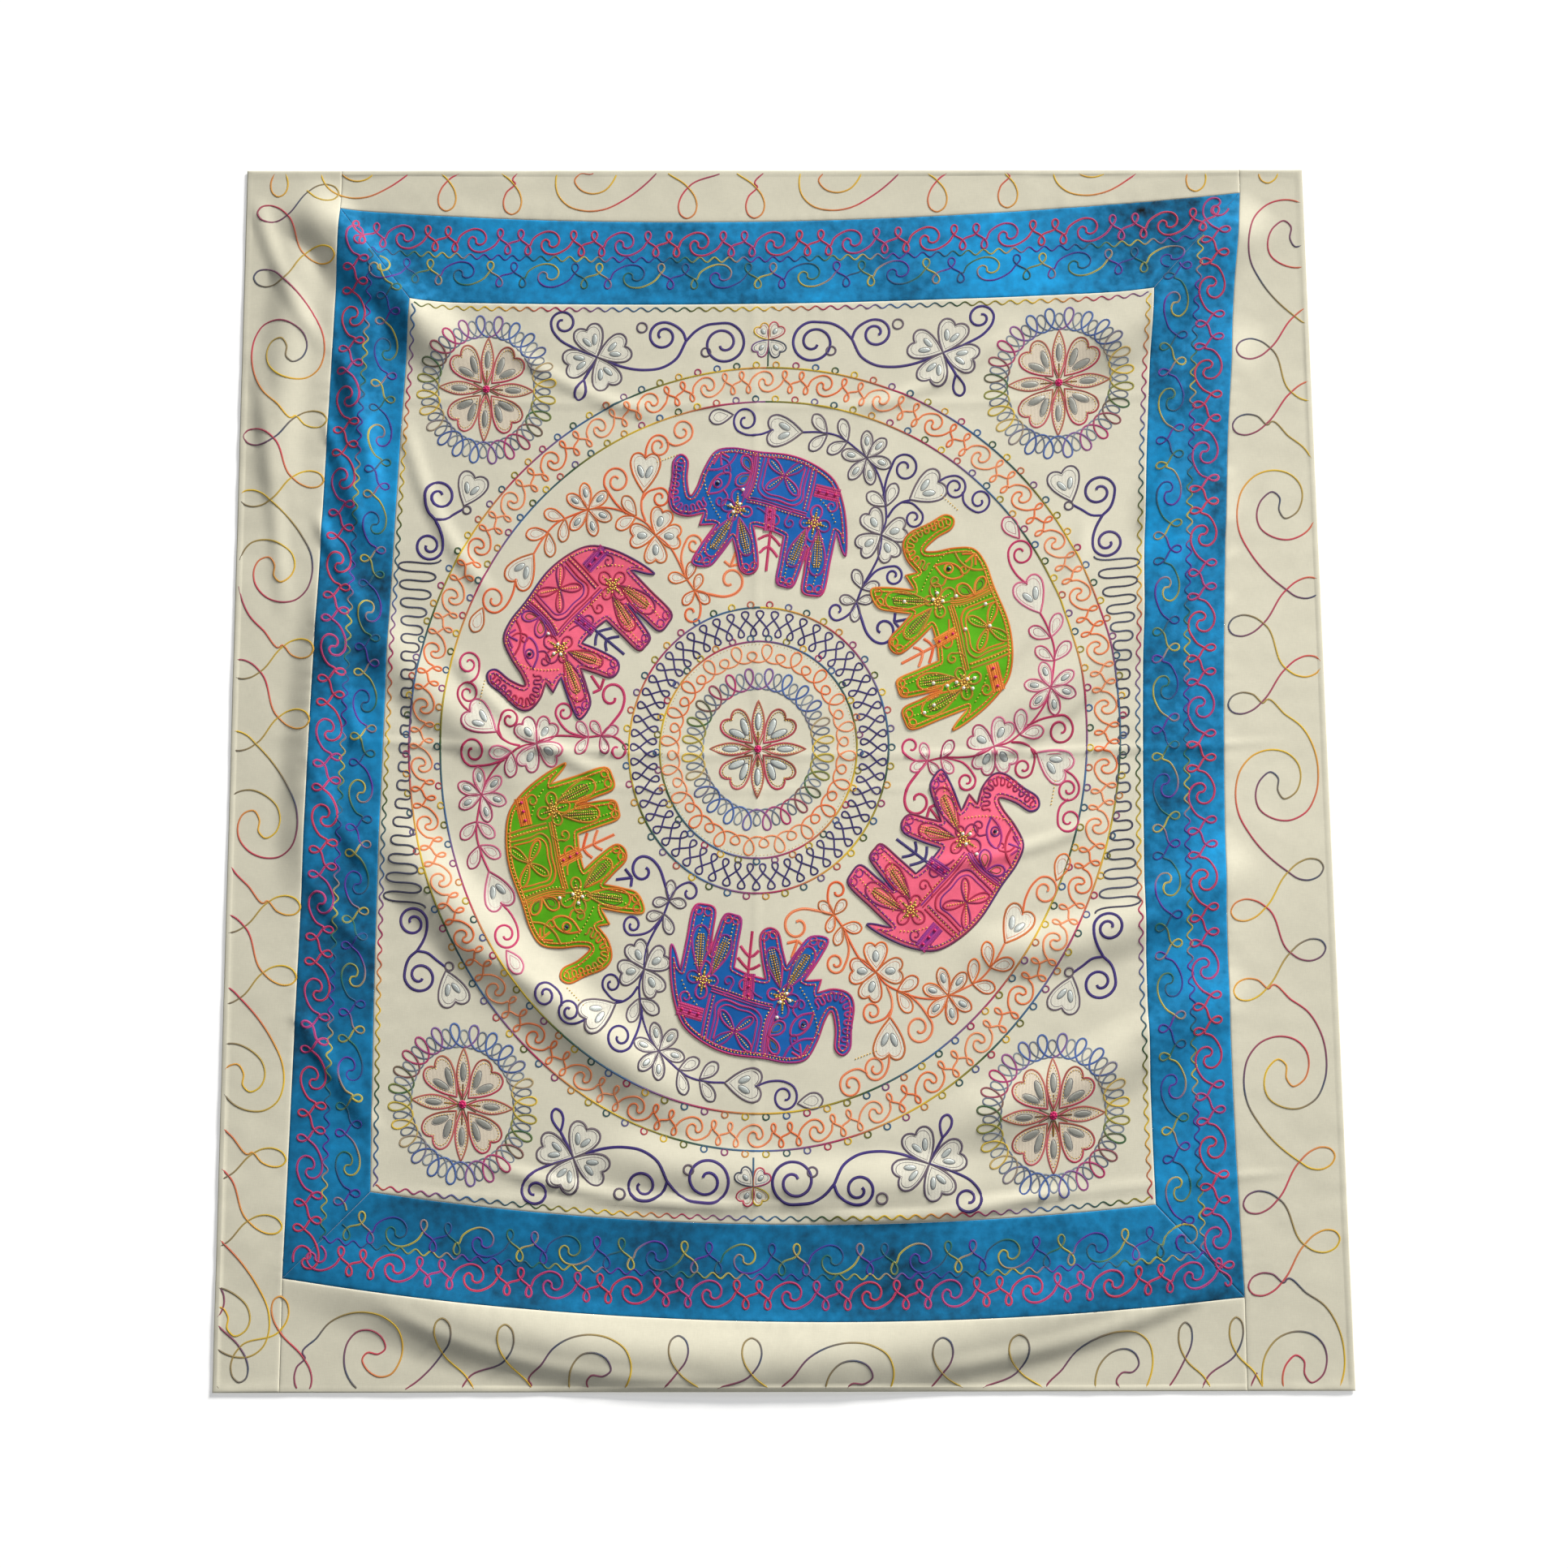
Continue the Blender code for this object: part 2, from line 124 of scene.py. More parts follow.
# Drag lines and dents that are too slight for the solids.
SMALL_FOLDS = (
    Fold("top right corner", (0.89, 1.10), (0.78, 0.98), (0.73, 0.80), 0.030, 0.0081),
    Fold("right strip, long", (0.88, 0.58), (0.78, 0.45), (0.69, 0.22), 0.028, 0.0074),
    Fold("right strip, first", (0.89, 0.49), (0.83, 0.42), (0.75, 0.31), 0.016, 0.0030),
    Fold("right strip, second", (0.89, 0.42), (0.83, 0.35), (0.76, 0.26), 0.016, 0.0030),
    Fold("right strip, third", (0.88, 0.33), (0.81, 0.25), (0.72, 0.16), 0.018, 0.0032),
    Fold("right strip, upper", (0.88, 0.96), (0.80, 0.85), (0.74, 0.62), 0.026, 0.0041),
    Fold("right seam", (0.77, 0.66), (0.74, 0.54), (0.69, 0.42), 0.024, 0.0041),
    Fold("right strip, foot", (0.86, -0.13), (0.77, -0.22), (0.66, -0.27), 0.022, 0.0041),
    Fold("right strip, lowest", (0.86, -0.40), (0.75, -0.48), (0.65, -0.55), 0.024, 0.0043),
    Fold("top left corner", (-0.90, 1.10), (-0.79, 0.98), (-0.69, 0.84), 0.032, 0.0088),
    Fold("left strip, first", (-0.88, 0.84), (-0.82, 0.67), (-0.78, 0.46), 0.028, 0.0081),
    Fold("left strip, second", (-0.90, 0.70), (-0.85, 0.56), (-0.79, 0.40), 0.020, 0.0046),
    Fold("left strip, third", (-0.91, 0.50), (-0.85, 0.37), (-0.77, 0.23), 0.022, 0.0054),
    Fold("left strip, fourth", (-0.90, 0.31), (-0.85, 0.15), (-0.79, -0.01), 0.024, 0.0051),
    Fold("left strip, fifth", (-0.91, 0.04), (-0.85, -0.11), (-0.76, -0.24), 0.022, 0.0049),
    Fold("left strip, sixth", (-0.91, -0.20), (-0.84, -0.31), (-0.75, -0.38), 0.020, 0.0041),
    Fold("left strip, foot", (-0.92, -0.47), (-0.85, -0.58), (-0.74, -0.73), 0.026, 0.0057),
    Fold("top left of the panel", (-0.74, 0.70), (-0.67, 0.48), (-0.54, 0.30), 0.026, 0.0041),
    Fold("left of the panel", (-0.65, 0.23), (-0.50, 0.06), (-0.31, -0.04), 0.024, 0.0043),
    Fold("lower left of the panel", (-0.65, -0.34), (-0.49, -0.42), (-0.31, -0.55), 0.026, 0.0043),
    Fold("upper right of the panel", (0.60, 0.49), (0.52, 0.29), (0.32, 0.10), 0.028, 0.0049),
    Fold("right of the panel", (0.66, 0.20), (0.51, 0.06), (0.34, -0.01), 0.022, 0.0041),
    Fold("lower right of the panel", (0.62, -0.11), (0.45, -0.18), (0.24, -0.21), 0.022, 0.0041),
    Fold("top of the panel", (-0.57, 0.85), (-0.41, 0.74), (-0.20, 0.67), 0.024, 0.0035),
    Fold("top of the panel, right", (0.48, 0.89), (0.33, 0.76), (0.10, 0.68), 0.024, 0.0035),
    Fold("foot of the panel", (-0.58, -0.76), (-0.30, -0.83), (-0.02, -0.85), 0.022, 0.0046),
    Fold("foot of the panel, right", (0.02, -0.86), (0.30, -0.86), (0.60, -0.80), 0.022, 0.0054),
    Fold("bottom border, left", (-0.76, -1.01), (-0.47, -1.13), (-0.06, -1.17), 0.026, 0.0046),
    Fold("bottom border, right", (0.84, -0.97), (0.58, -1.08), (0.20, -1.16), 0.028, 0.0062),
    Fold("bottom right corner", (0.57, -0.97), (0.72, -0.92), (0.84, -0.76), 0.026, 0.0057),
    Fold("left border, top", (-1.04, 1.14), (-0.99, 0.98), (-0.89, 0.80), 0.026, 0.0049),
    Fold("middle press line, left", (-1.00, 0.047), (-0.60, 0.026), (-0.20, 0.010), 0.011, 0.0014),
    Fold("middle press line, right", (0.20, 0.006), (0.60, 0.016), (1.00, 0.036), 0.011, 0.0015),
    Fold("lower press line, right", (0.55, -0.815), (0.75, -0.800), (0.98, -0.782), 0.011, 0.0016),
    Fold("left border", (-1.04, 0.84), (-0.99, 0.54), (-0.96, 0.26), 0.026, 0.0035),
)
SMALL_FOLD_LIMIT = 0.034  # how high a main fold would leave nothing of a small one on it
CREST_STOPS = 24
END_FADE = 0.22
FOLD_BLEND = 3.0
RIPPLE = 0.0016  # height of the cloth's slow unevenness
CRUMPLE = 0.0021  # height of the small dents all over
PUCKER = 0.0010  # height of the gathers along the sewn seams
PUCKER_LENGTH = 0.026
PUCKER_FADE = 0.016

# The elephants, as in the solids.
TALL = 1.117
PATCH_RISE = 0.0013  # a patch's face over the cloth's face
LINE_STEPS = 5
BODY_STOPS = (
    (-0.163, 0.124), (-0.149, 0.112), (-0.150, 0.080), (-0.143, 0.050), (-0.130, 0.066),
    (-0.116, 0.100), (-0.095, 0.130), (-0.060, 0.136), (-0.015, 0.129), (0.050, 0.122),
    (0.100, 0.103), (0.138, 0.074), (0.156, 0.030), (0.163, -0.020), (0.162, -0.060),
    (0.154, -0.052), (0.143, -0.018), (0.132, -0.070), (0.120, -0.125), (0.098, -0.131),
    (0.078, -0.122), (0.082, -0.085), (0.087, -0.046), (0.072, -0.090), (0.060, -0.114),
    (0.042, -0.114), (0.028, -0.105), (0.034, -0.065), (0.041, -0.024), (0.012, -0.012),
    (-0.018, -0.005), (-0.010, -0.045), (-0.008, -0.080), (-0.024, -0.092), (-0.042, -0.084),
    (-0.050, -0.055), (-0.058, -0.027), (-0.080, -0.055), (-0.103, -0.077), (-0.136, -0.072),
    (-0.122, -0.042), (-0.092, -0.002), (-0.124, -0.004), (-0.116, 0.018), (-0.147, 0.012),
    (-0.175, 0.020), (-0.185, 0.042), (-0.180, 0.080), (-0.178, 0.112),
)  # fmt: skip
BODY_CORNERS = [16, 22, 28, 30, 36, 41, 42, 43]  # the stops at which the outline has a corner
Elephant = namedtuple("Elephant", "node cloth turn out forward")
ELEPHANTS = (
    Elephant("elephant_blue_top", "patch_blue", 0, 0.403, 0.008),
    Elephant("elephant_pink_left", "patch_pink", 60, 0.405, 0.000),
    Elephant("elephant_green_left", "patch_green", 120, 0.406, -0.004),
    Elephant("elephant_blue_bottom", "patch_blue", 180, 0.396, -0.009),
    Elephant("elephant_pink_right", "patch_pink", 240, 0.384, 0.001),
    Elephant("elephant_green_right", "patch_green", 300, 0.388, 0.006),
)


# How the cloth lies. Points come as arrays, one value for each point.


def mix(a, b, share):
    return a + (b - a) * share


def soft_step(share):
    share = np.clip(share, 0.0, 1.0)
    return share * share * (3 - 2 * share)


def lie(u, v):
    """Where points of the flat cloth come to lie on the surface."""
    x = MIDDLE.x + u + LEAN * v + SIDE_BOW * u**2 + SIDE_FLARE * u**2 * v + END_BOW * v**2
    y = MIDDLE.y + v + SHEAR * u * v + SWAG * u**2 - SWAG_TAPER * u**2 * v
    return x, y


def crest_line(fold):
    """Points of the curve through a fold's start, middle and end."""
    share = np.linspace(0, 1, CREST_STOPS + 1)[:, None]
    before = 2 * (share - 0.5) * (share - 1)
    between = 4 * share * (1 - share)
    after = 2 * share * (share - 0.5)
    return before * np.array(fold.start) + between * np.array(fold.middle) + after * np.array(fold.end)


def one_fold(fold, x, y):
    """How high one fold lifts the cloth: a rounded ridge that dies away at both ends."""
    lift = np.zeros(x.shape)
    crest = crest_line(fold)
    low, high = crest.min(0) - fold.half_width, crest.max(0) + fold.half_width
    near = (x > low[0]) & (x < high[0]) & (y > low[1]) & (y < high[1])
    px, py = x[near], y[near]
    away, along = np.full(px.shape, np.inf), np.zeros(px.shape)
    for stop in range(CREST_STOPS):
        (ax, ay), (run_x, run_y) = crest[stop], crest[stop + 1] - crest[stop]
        share = ((px - ax) * run_x + (py - ay) * run_y) / (run_x**2 + run_y**2)
        share = np.clip(share, 0.0, 1.0)
        distance = np.hypot(px - ax - share * run_x, py - ay - share * run_y)
        along = np.where(distance < away, (stop + share) / CREST_STOPS, along)
        away = np.minimum(distance, away)
    ridge = np.cos(0.5 * math.pi * np.minimum(away / fold.half_width, 1.0)) ** 2
    ends = soft_step(along / END_FADE) * soft_step((1 - along) / END_FADE)
    lift[near] = fold.height * ridge * ends
    return lift


FLAT_ROUNDS = 4


def flat_of(x, y):
    """The point of the flat cloth that comes to lie at a place, the other way round from lie."""
    u, v = x - MIDDLE.x, y - MIDDLE.y
    for _ in range(FLAT_ROUNDS):
        there_x, there_y = lie(u, v)
        u, v = u + x - there_x, v + y - there_y
    return u, v


def bent_wave(x, y, right, up, sway, sway_right, sway_up, sway_start):
    """A wave over the cloth whose crests sway from side to side."""
    return np.sin(right * x + up * y + sway * np.sin(sway_right * x + sway_up * y + sway_start))


# The crumples: the weight of each kind, and the two bent waves that make it.
CRUMPLES = (
    (0.26, (29, 11, 2.2, 0, 9, 0.7), (-12, 34, 1.9, 13, 0, 1.1)),
    (0.16, (47, -38, 2.4, 8, 7, 0), (21, 53, 1.7, 0, 15, 0)),
    (0.08, (88, 31, 2.6, 17, -12, 0), (-26, 79, 0, 0, 0, 0)),
)


def crumples(x, y):
    """Small soft dents all over, from 0 to 1, deeper in some places than in others."""
    dents = sum(weight * (bent_wave(x, y, *a) * bent_wave(x, y, *b)) for weight, a, b in CRUMPLES)
    patchy = 0.65 + 0.35 * np.sin(5.3 * x + 1.4) * np.sin(4.7 * y - 0.6)
    return 0.5 + patchy * dents


def puckers(x, y):
    """Gathers along the seams of the blue strips, from 0 to 1, uneven in spacing and in depth."""
    u, v = flat_of(x, y)
    lift = np.zeros(x.shape)
    for half_width, half_length, left_bow, right_bow in (
        (CENTRE_HALF_WIDTH, CENTRE_HALF_LENGTH, LEFT_BOWS.inner, RIGHT_BOWS.inner),
        (FRAME_HALF_WIDTH, FRAME_HALF_LENGTH, LEFT_BOWS.outer, RIGHT_BOWS.outer),
    ):
        bow = np.where(u > 0, right_bow, left_bow) * (1 - (v / half_length) ** 2)
        side = np.abs(np.abs(u) - half_width - bow)
        end = np.abs(np.abs(v) - half_length)
        for away, along, inside in ((side, v, np.abs(v) < half_length), (end, u, np.abs(u) < half_width)):
            turn = 2 * math.pi * along / PUCKER_LENGTH + 2.5 * np.sin(31 * along) + 1.2 * np.sin(73 * along)
            gather = (0.5 + 0.5 * np.sin(turn)) * (0.55 + 0.45 * np.sin(11 * along + 0.8))
            lift = np.maximum(lift, np.where(inside, gather * np.exp(-away / PUCKER_FADE), 0.0))
    return lift


def cloth_under(x, y):
    """Height of the cloth's underside over the surface."""
    folds = sum(one_fold(fold, x, y) ** FOLD_BLEND for fold in FOLDS) ** (1 / FOLD_BLEND)
    small = sum(one_fold(fold, x, y) for fold in SMALL_FOLDS) * (1 - folds / SMALL_FOLD_LIMIT)
    creases = sum(one_fold(crease, x, y) for crease in CREASES) + small
    slow = np.sin(7.1 * x + 2.3 * np.sin(3.7 * y) + 0.6) * np.sin(6.3 * y + 1.9 * np.sin(4.1 * x))
    slow = RIPPLE * (0.5 + 0.5 * slow)
    return folds + creases + slow + CRUMPLE * crumples(x, y) + PUCKER * puckers(x, y)


def cloth_top(x, y):
    return cloth_under(x, y) + CLOTH_THICKNESS


def patch_top(x, y):
    return cloth_top(x, y) + PATCH_RISE


# The outer edge and the hem.

HEM_WIDTH = 0.011
HEM_RISE = 0.0009
HEM_SLOPE = 0.002


def top_edge(x):
    return mix(TOP_LEFT.y, TOP_RIGHT.y, (x - TOP_LEFT.x) / (TOP_RIGHT.x - TOP_LEFT.x))


def bottom_edge(x):
    return mix(BOTTOM_LEFT.y, BOTTOM_RIGHT.y, (x - BOTTOM_LEFT.x) / (BOTTOM_RIGHT.x - BOTTOM_LEFT.x))


def outer_side(side, y):
    low, high = (BOTTOM_LEFT, TOP_LEFT) if side < 0 else (BOTTOM_RIGHT, TOP_RIGHT)
    return mix(low.x, high.x, (y - low.y) / (high.y - low.y))


def inside_edge(x, y):
    """How far inside the outer edge points lie."""
    ends = np.minimum(top_edge(x) - y, y - bottom_edge(x))
    sides = np.minimum(outer_side(1, y) - x, x - outer_side(-1, y))
    return np.minimum(ends, sides)


def hemmed_top(x, y):
    """The face of the white border, a little higher where the hem is turned under."""
    return cloth_top(x, y) + HEM_RISE * soft_step((HEM_WIDTH - inside_edge(x, y)) / HEM_SLOPE)


# The panels. s runs across each one and t along it, both from -1 to 1.


def bowed(half, bow, share):
    """A seam's distance from the middle lines, at a share from -1 to 1 of its length."""
    return half + bow * (1 - share**2)


def centre_place(s, t):
    side_bow = np.where(s > 0, RIGHT_BOWS.inner, LEFT_BOWS.inner)
    end_bow = np.where(t > 0, TOP_BOWS.inner, BOTTOM_BOWS.inner)
    half_width = bowed(CENTRE_HALF_WIDTH, side_bow, t) - SEAM_GAP / 2
    half_length = bowed(CENTRE_HALF_LENGTH, end_bow, s) - SEAM_GAP / 2
    return lie(s * half_width, t * half_length)


def end_band_place(end):
    """The blue strip at the top for end 1 and at the bottom for end -1, with mitred ends."""
    bows = TOP_BOWS if end > 0 else BOTTOM_BOWS

    def place(s, t):
        out = (t + 1) / 2
        inner = bowed(CENTRE_HALF_LENGTH, bows.inner, s) + SEAM_GAP / 2
        outer = bowed(FRAME_HALF_LENGTH, bows.outer, s) - SEAM_GAP / 2
        half = mix(CENTRE_HALF_WIDTH, FRAME_HALF_WIDTH, out) - SEAM_GAP
        return lie(s * half, end * mix(inner, outer, out))

    return place


def side_band_place(side):
    """The blue strip at the left for side -1 and at the right for side 1, with mitred ends."""
    bows = RIGHT_BOWS if side > 0 else LEFT_BOWS

    def place(s, t):
        out = (s + 1) / 2
        inner = bowed(CENTRE_HALF_WIDTH, bows.inner, t) + SEAM_GAP / 2
        outer = bowed(FRAME_HALF_WIDTH, bows.outer, t) - SEAM_GAP / 2
        half = mix(CENTRE_HALF_LENGTH, FRAME_HALF_LENGTH, out) - SEAM_GAP
        return lie(side * mix(inner, outer, out), t * half)

    return place


def end_border_place(end):
    """The white strip between the blue frame and the top or bottom edge."""
    bows = TOP_BOWS if end > 0 else BOTTOM_BOWS

    def place(s, t):
        seam = bowed(FRAME_HALF_LENGTH, bows.outer, s) + SEAM_GAP / 2
        near_x, near_y = lie(s * FRAME_HALF_WIDTH, end * seam)
        near_x = near_x - s * SEAM_GAP / 2
        far_y = top_edge(near_x) if end > 0 else bottom_edge(near_x)
        left, right = (lie(side * FRAME_HALF_WIDTH, end * FRAME_HALF_LENGTH)[0] for side in (-1, 1))
        far_x = mix(left + SEAM_GAP / 2, right - SEAM_GAP / 2, (s + 1) / 2)
        out = (t + 1) / 2
        return mix(near_x, far_x, out), mix(near_y, far_y, out)

    return place


# The share of a side border's length, from -1 to 1, that runs past each end of the blue frame.
BORDER_END_SHARE = 4 / 52


def side_border_place(side):
    """The white strip at the side, which runs the full length past both ends of the blue frame."""
    bows = RIGHT_BOWS if side > 0 else LEFT_BOWS
    low, high = (BOTTOM_LEFT, TOP_LEFT) if side < 0 else (BOTTOM_RIGHT, TOP_RIGHT)
    beside = 1 - BORDER_END_SHARE

    def place(s, t):
        share = np.clip(t / beside, -1, 1)
        past = np.clip((np.abs(t) - beside) / BORDER_END_SHARE, 0, 1)
        x, y = lie(side * bowed(FRAME_HALF_WIDTH, bows.outer, share), share * FRAME_HALF_LENGTH)
        end = np.where(t > 0, top_edge(x), bottom_edge(x))
        seam_x, seam_y = x + side * SEAM_GAP / 2, mix(y, end, past)
        edge_y = mix(low.y, high.y, (t + 1) / 2)
        out = (s + 1) / 2
        return mix(seam_x, outer_side(side, edge_y), out), mix(seam_y, edge_y, out)

    return place


# Cloth meshes.

EDGE_DROP = 0.0009  # how far a panel's face rolls down at its sewn edge
EDGE_DROP_LEFT = 0.35  # the share of it that is left one stop further in
EDGE_STOPS = (0.0, 0.0015, 0.004)  # distances from the edge at which the roll is drawn


def new_object(name, mesh, smooth=True):
    piece = bpy.data.objects.new(name, mesh)
    bpy.context.scene.collection.objects.link(piece)
    if smooth:
        mesh.shade_smooth()
    return piece


def mesh_from(name, points, faces):
    mesh = bpy.data.meshes.new(name)
    mesh.from_pydata(np.asarray(points).tolist(), [], faces)
    mesh.update()
    return mesh


def shares(length, cell):
    """Even stops from -1 to 1 over a length, with close ones near both edges."""
    inner = 1 - 2 * (EDGE_STOPS[-1] + cell / 2) / length
    even = np.linspace(-inner, inner, max(2, round(length * inner / cell)))
    edges = 1 - 2 * np.array(EDGE_STOPS) / length
    return np.concatenate([-edges, even, edges[::-1]])


def grid_quads(rows, columns):
    """The faces of a grid of points counted row by row."""
    corner = (np.arange(rows - 1)[:, None] * columns + np.arange(columns - 1)).ravel()
    return np.stack([corner, corner + 1, corner + columns + 1, corner + columns], 1)


def rim_quads(rows, columns, below):
    """The faces that close a sheet's rim down to the points that start at number below."""
    top = np.arange(columns)
    right = np.arange(1, rows) * columns + columns - 1
    bottom = np.arange(columns - 2, -1, -1) + (rows - 1) * columns
    left = np.arange(rows - 2, 0, -1) * columns
    rim = np.concatenate([top, right, bottom, left])
    ahead = np.roll(rim, -1)
    return np.stack([ahead, rim, rim + below, ahead + below], 1)


def recalculated(mesh):
    """The mesh with all its faces turned outward."""
    bm = bmesh.new()
    bm.from_mesh(mesh)
    bmesh.ops.recalc_face_normals(bm, faces=bm.faces[:])
    bm.to_mesh(mesh)
    bm.free()
    return mesh


def panel_mesh(name, place, across, along, face):
    """A closed thin sheet whose upper side is at face(x, y) and rolls down a little at its edges."""
    s, t = np.meshgrid(across, along)
    x, y = place(s.ravel(), t.ravel())
    rows, columns = s.shape
    count = rows * columns
    row, column = np.divmod(np.arange(count), columns)
    step = np.minimum.reduce([row, column, rows - 1 - row, columns - 1 - column])
    roll = np.select([step == 0, step == 1], [EDGE_DROP, EDGE_DROP * EDGE_DROP_LEFT], 0.0)
    points = np.vstack([np.stack([x, y, z], 1) for z in (face(x, y) - roll, cloth_under(x, y))])
    upper = grid_quads(rows, columns)
    quads = np.concatenate([upper, upper[:, ::-1] + count, rim_quads(rows, columns, count)])
    return recalculated(mesh_from(name, points, quads.tolist()))


# Drawing: lines are arrays of points in millimetres on the flat cloth.

LINE_STEP = 4.5  # length of a thread's straight bits
SHAPE_STEP = 0.06  # the same for a petal's outline, as a share of its length
CURL_STOPS = 10  # in a full turn
CURL_TIGHTENING = 1.5
Line = namedtuple("Line", "points yarn width")
Pad = namedtuple("Pad", "start end width finish")
Bead = namedtuple("Bead", "points radius finish")
Fill = namedtuple("Fill", "outline middle finish")


def points_of(points):
    return np.array(points, float).reshape(-1, 2)


def mix_points(a, b, share):
    return tuple(mix(one, other, share) for one, other in zip(points_of(a)[0], points_of(b)[0]))


def lengths_of(arrows):
    return np.hypot(arrows[:, 0], arrows[:, 1])


def leftward(arrows):
    """Arrows turned a quarter anticlockwise."""
    return np.stack([-arrows[:, 1], arrows[:, 0]], 1)


def on_circle(angle):
    """Points on a circle with a radius of 1."""
    return np.stack([np.cos(angle), np.sin(angle)], 1)


def middle_of(outline):
    return (outline.max(0) + outline.min(0)) / 2


def anticlockwise(outline):
    """Twice the area inside a closed outline, or less than 0 where it runs clockwise."""
    x, y = outline.T
    return (x * np.roll(y, -1) - np.roll(x, -1) * y).sum()


def closed(outline):
    return np.vstack([outline, outline[:1]])


def smooth(points, step=LINE_STEP):
    """A smooth line through the points."""
    knots = points_of(points)
    knots = np.vstack([2 * knots[0] - knots[1], knots, 2 * knots[-1] - knots[-2]])
    bits = np.diff(knots, axis=0)
    runs = np.maximum(lengths_of(bits), 1e-6)[:, None]
    slopes = bits / runs
    tangents = (slopes[:-1] * runs[1:] + slopes[1:] * runs[:-1]) / (runs[:-1] + runs[1:])
    line = []
    for here in range(len(tangents) - 1):
        a, b, run = knots[here + 1], knots[here + 2], runs[here + 1, 0]
        count = max(2, math.ceil(run / step))
        s = (np.arange(count) / count)[:, None]
        line.append(
            a * (2 * s**3 - 3 * s**2 + 1)
            + tangents[here] * run * (s**3 - 2 * s**2 + s)
            + b * (3 * s**2 - 2 * s**3)
            + tangents[here + 1] * run * (s**3 - s**2)
        )
    line.append(knots[-2:-1])
    return np.vstack(line)


def turned(points, degrees):
    angle = math.radians(degrees)
    spin = np.array([[math.cos(angle), math.sin(angle)], [-math.sin(angle), math.cos(angle)]])
    return points_of(points) @ spin


def heading(start, end):
    return math.degrees(math.atan2(end[1] - start[1], end[0] - start[0]))


def set_on(shape, start, end):
    """A shape drawn from (0, 0) to (1, 0), set between two points."""
    start, end = points_of(start)[0], points_of(end)[0]
    length = math.hypot(*(end - start))
    return turned(np.asarray(shape) * length, heading(start, end)) + start


def curl(stem, centre, turns, left=0.2):
    """A stem that winds into a spiral round centre, anticlockwise where turns is above 0."""
    centre = points_of(centre)[0]
    spoke = points_of(stem)[-1] - centre
    radius, start = math.hypot(*spoke), math.atan2(spoke[1], spoke[0])
    stops = math.ceil(abs(turns) * CURL_STOPS)
    share = np.arange(1, stops + 1) / stops
    angle = start + 2 * math.pi * turns * share
    reach = radius * (1 - (1 - left) * share**CURL_TIGHTENING)
    return smooth(np.vstack([points_of(stem), centre + on_circle(angle) * reach[:, None]]))


def round_line(centre, radius, tall=1.0, step=LINE_STEP):
    """A circle, or an upright oval, drawn clockwise from its top."""
    count = max(8, math.ceil(2 * math.pi * radius / step))
    angle = np.linspace(0, 2 * math.pi, count + 1)
    return points_of(centre) + radius * np.stack([np.sin(angle), tall * np.cos(angle)], 1)


def one_sided(*side, closed_tip=True):
    """A closed outline from one side of it, which runs from (0, 0) to its tip on the axis."""
    side = points_of(side)
    if closed_tip:
        return smooth(np.vstack([side, side[-2::-1] * (1, -1)]), SHAPE_STEP)
    half = smooth(side, SHAPE_STEP)
    return np.vstack([half, half[-2::-1] * (1, -1)])


PETAL = one_sided((0, 0), (0.28, 0.16), (0.60, 0.26), (0.88, 0.19), (1.0, 0.0))
DROP = one_sided((0, 0), (0.25, 0.09), (0.52, 0.16), (0.82, 0.16), (0.97, 0.08), (1.0, 0.0))
LEAF = one_sided((0, 0), (0.22, 0.10), (0.52, 0.15), (0.80, 0.09), (1.0, 0.0), closed_tip=False)
HEART = one_sided(
    (0, 0), (0.31, 0.24), (0.56, 0.37), (0.78, 0.41), (0.94, 0.34), (0.99, 0.21), (0.94, 0.07), (0.87, 0.0),
    closed_tip=False,
)  # fmt: skip


def shape_between(shape, start, end, breadth):
    return set_on(shape * (1, breadth), start, end)


def shrunk(outline, share):
    """A smaller copy of an outline, inside it."""
    middle = middle_of(outline)
    return middle + (outline - middle) * share


def run_along(path):
    """How far along a path each of its points is."""
    return np.concatenate([[0], np.cumsum(lengths_of(np.diff(path, axis=0)))])


def on_path(path, along, beside):
    """Points at distances along a path and to the left of it."""
    run = run_along(path)
    tangent = np.gradient(path, axis=0)
    if np.allclose(path[0], path[-1]):
        tangent[0] = tangent[-1] = path[1] - path[-2]
        along = along % run[-1]
    tangent /= lengths_of(tangent)[:, None]
    x, y = np.interp(along, run, path[:, 0]), np.interp(along, run, path[:, 1])
    tx, ty = np.interp(along, run, tangent[:, 0]), np.interp(along, run, tangent[:, 1])
    return np.stack([x - ty * beside, y + tx * beside], 1)


def length_of(path):
    return float(lengths_of(np.diff(path, axis=0)).sum())


WAVE_STEPS = 24
COIL_STEPS = 22


def wave(path, count, height, swing=0.0, steps=WAVE_STEPS):
    """A wavy thread along a path. With swing its turns bulge, and with more swing they loop."""
    turn = np.linspace(0, 2 * math.pi * count, count * steps + 1)
    along = turn / (2 * math.pi * count) * length_of(path)
    return on_path(path, along - swing * np.sin(2 * turn), height * np.cos(turn))


def coil(path, count, heights, swing, start=0.0):
    """A thread that runs along a path in loops to its left, whose heights take turns."""
    turn = np.linspace(0, 2 * math.pi * count, count * COIL_STEPS + 1)
    pitch = length_of(path) / count
    along = (turn / (2 * math.pi) + start) * pitch
    loop = np.minimum((turn / (2 * math.pi)).astype(int), count - 1)
    reach = np.array(heights)[loop % len(heights)]
    return on_path(path, along + swing * np.sin(turn), reach * (1 - np.cos(turn)) / 2)


def spaced(path, spacing):
    """Points along a path at about that spacing."""
    length = length_of(path)
    along = np.linspace(0, length, max(2, round(length / spacing)))
    return on_path(path, along, np.zeros(along.shape))


PAD_RING_STOPS = 19
PAD_RING_WIDTH = 1.7


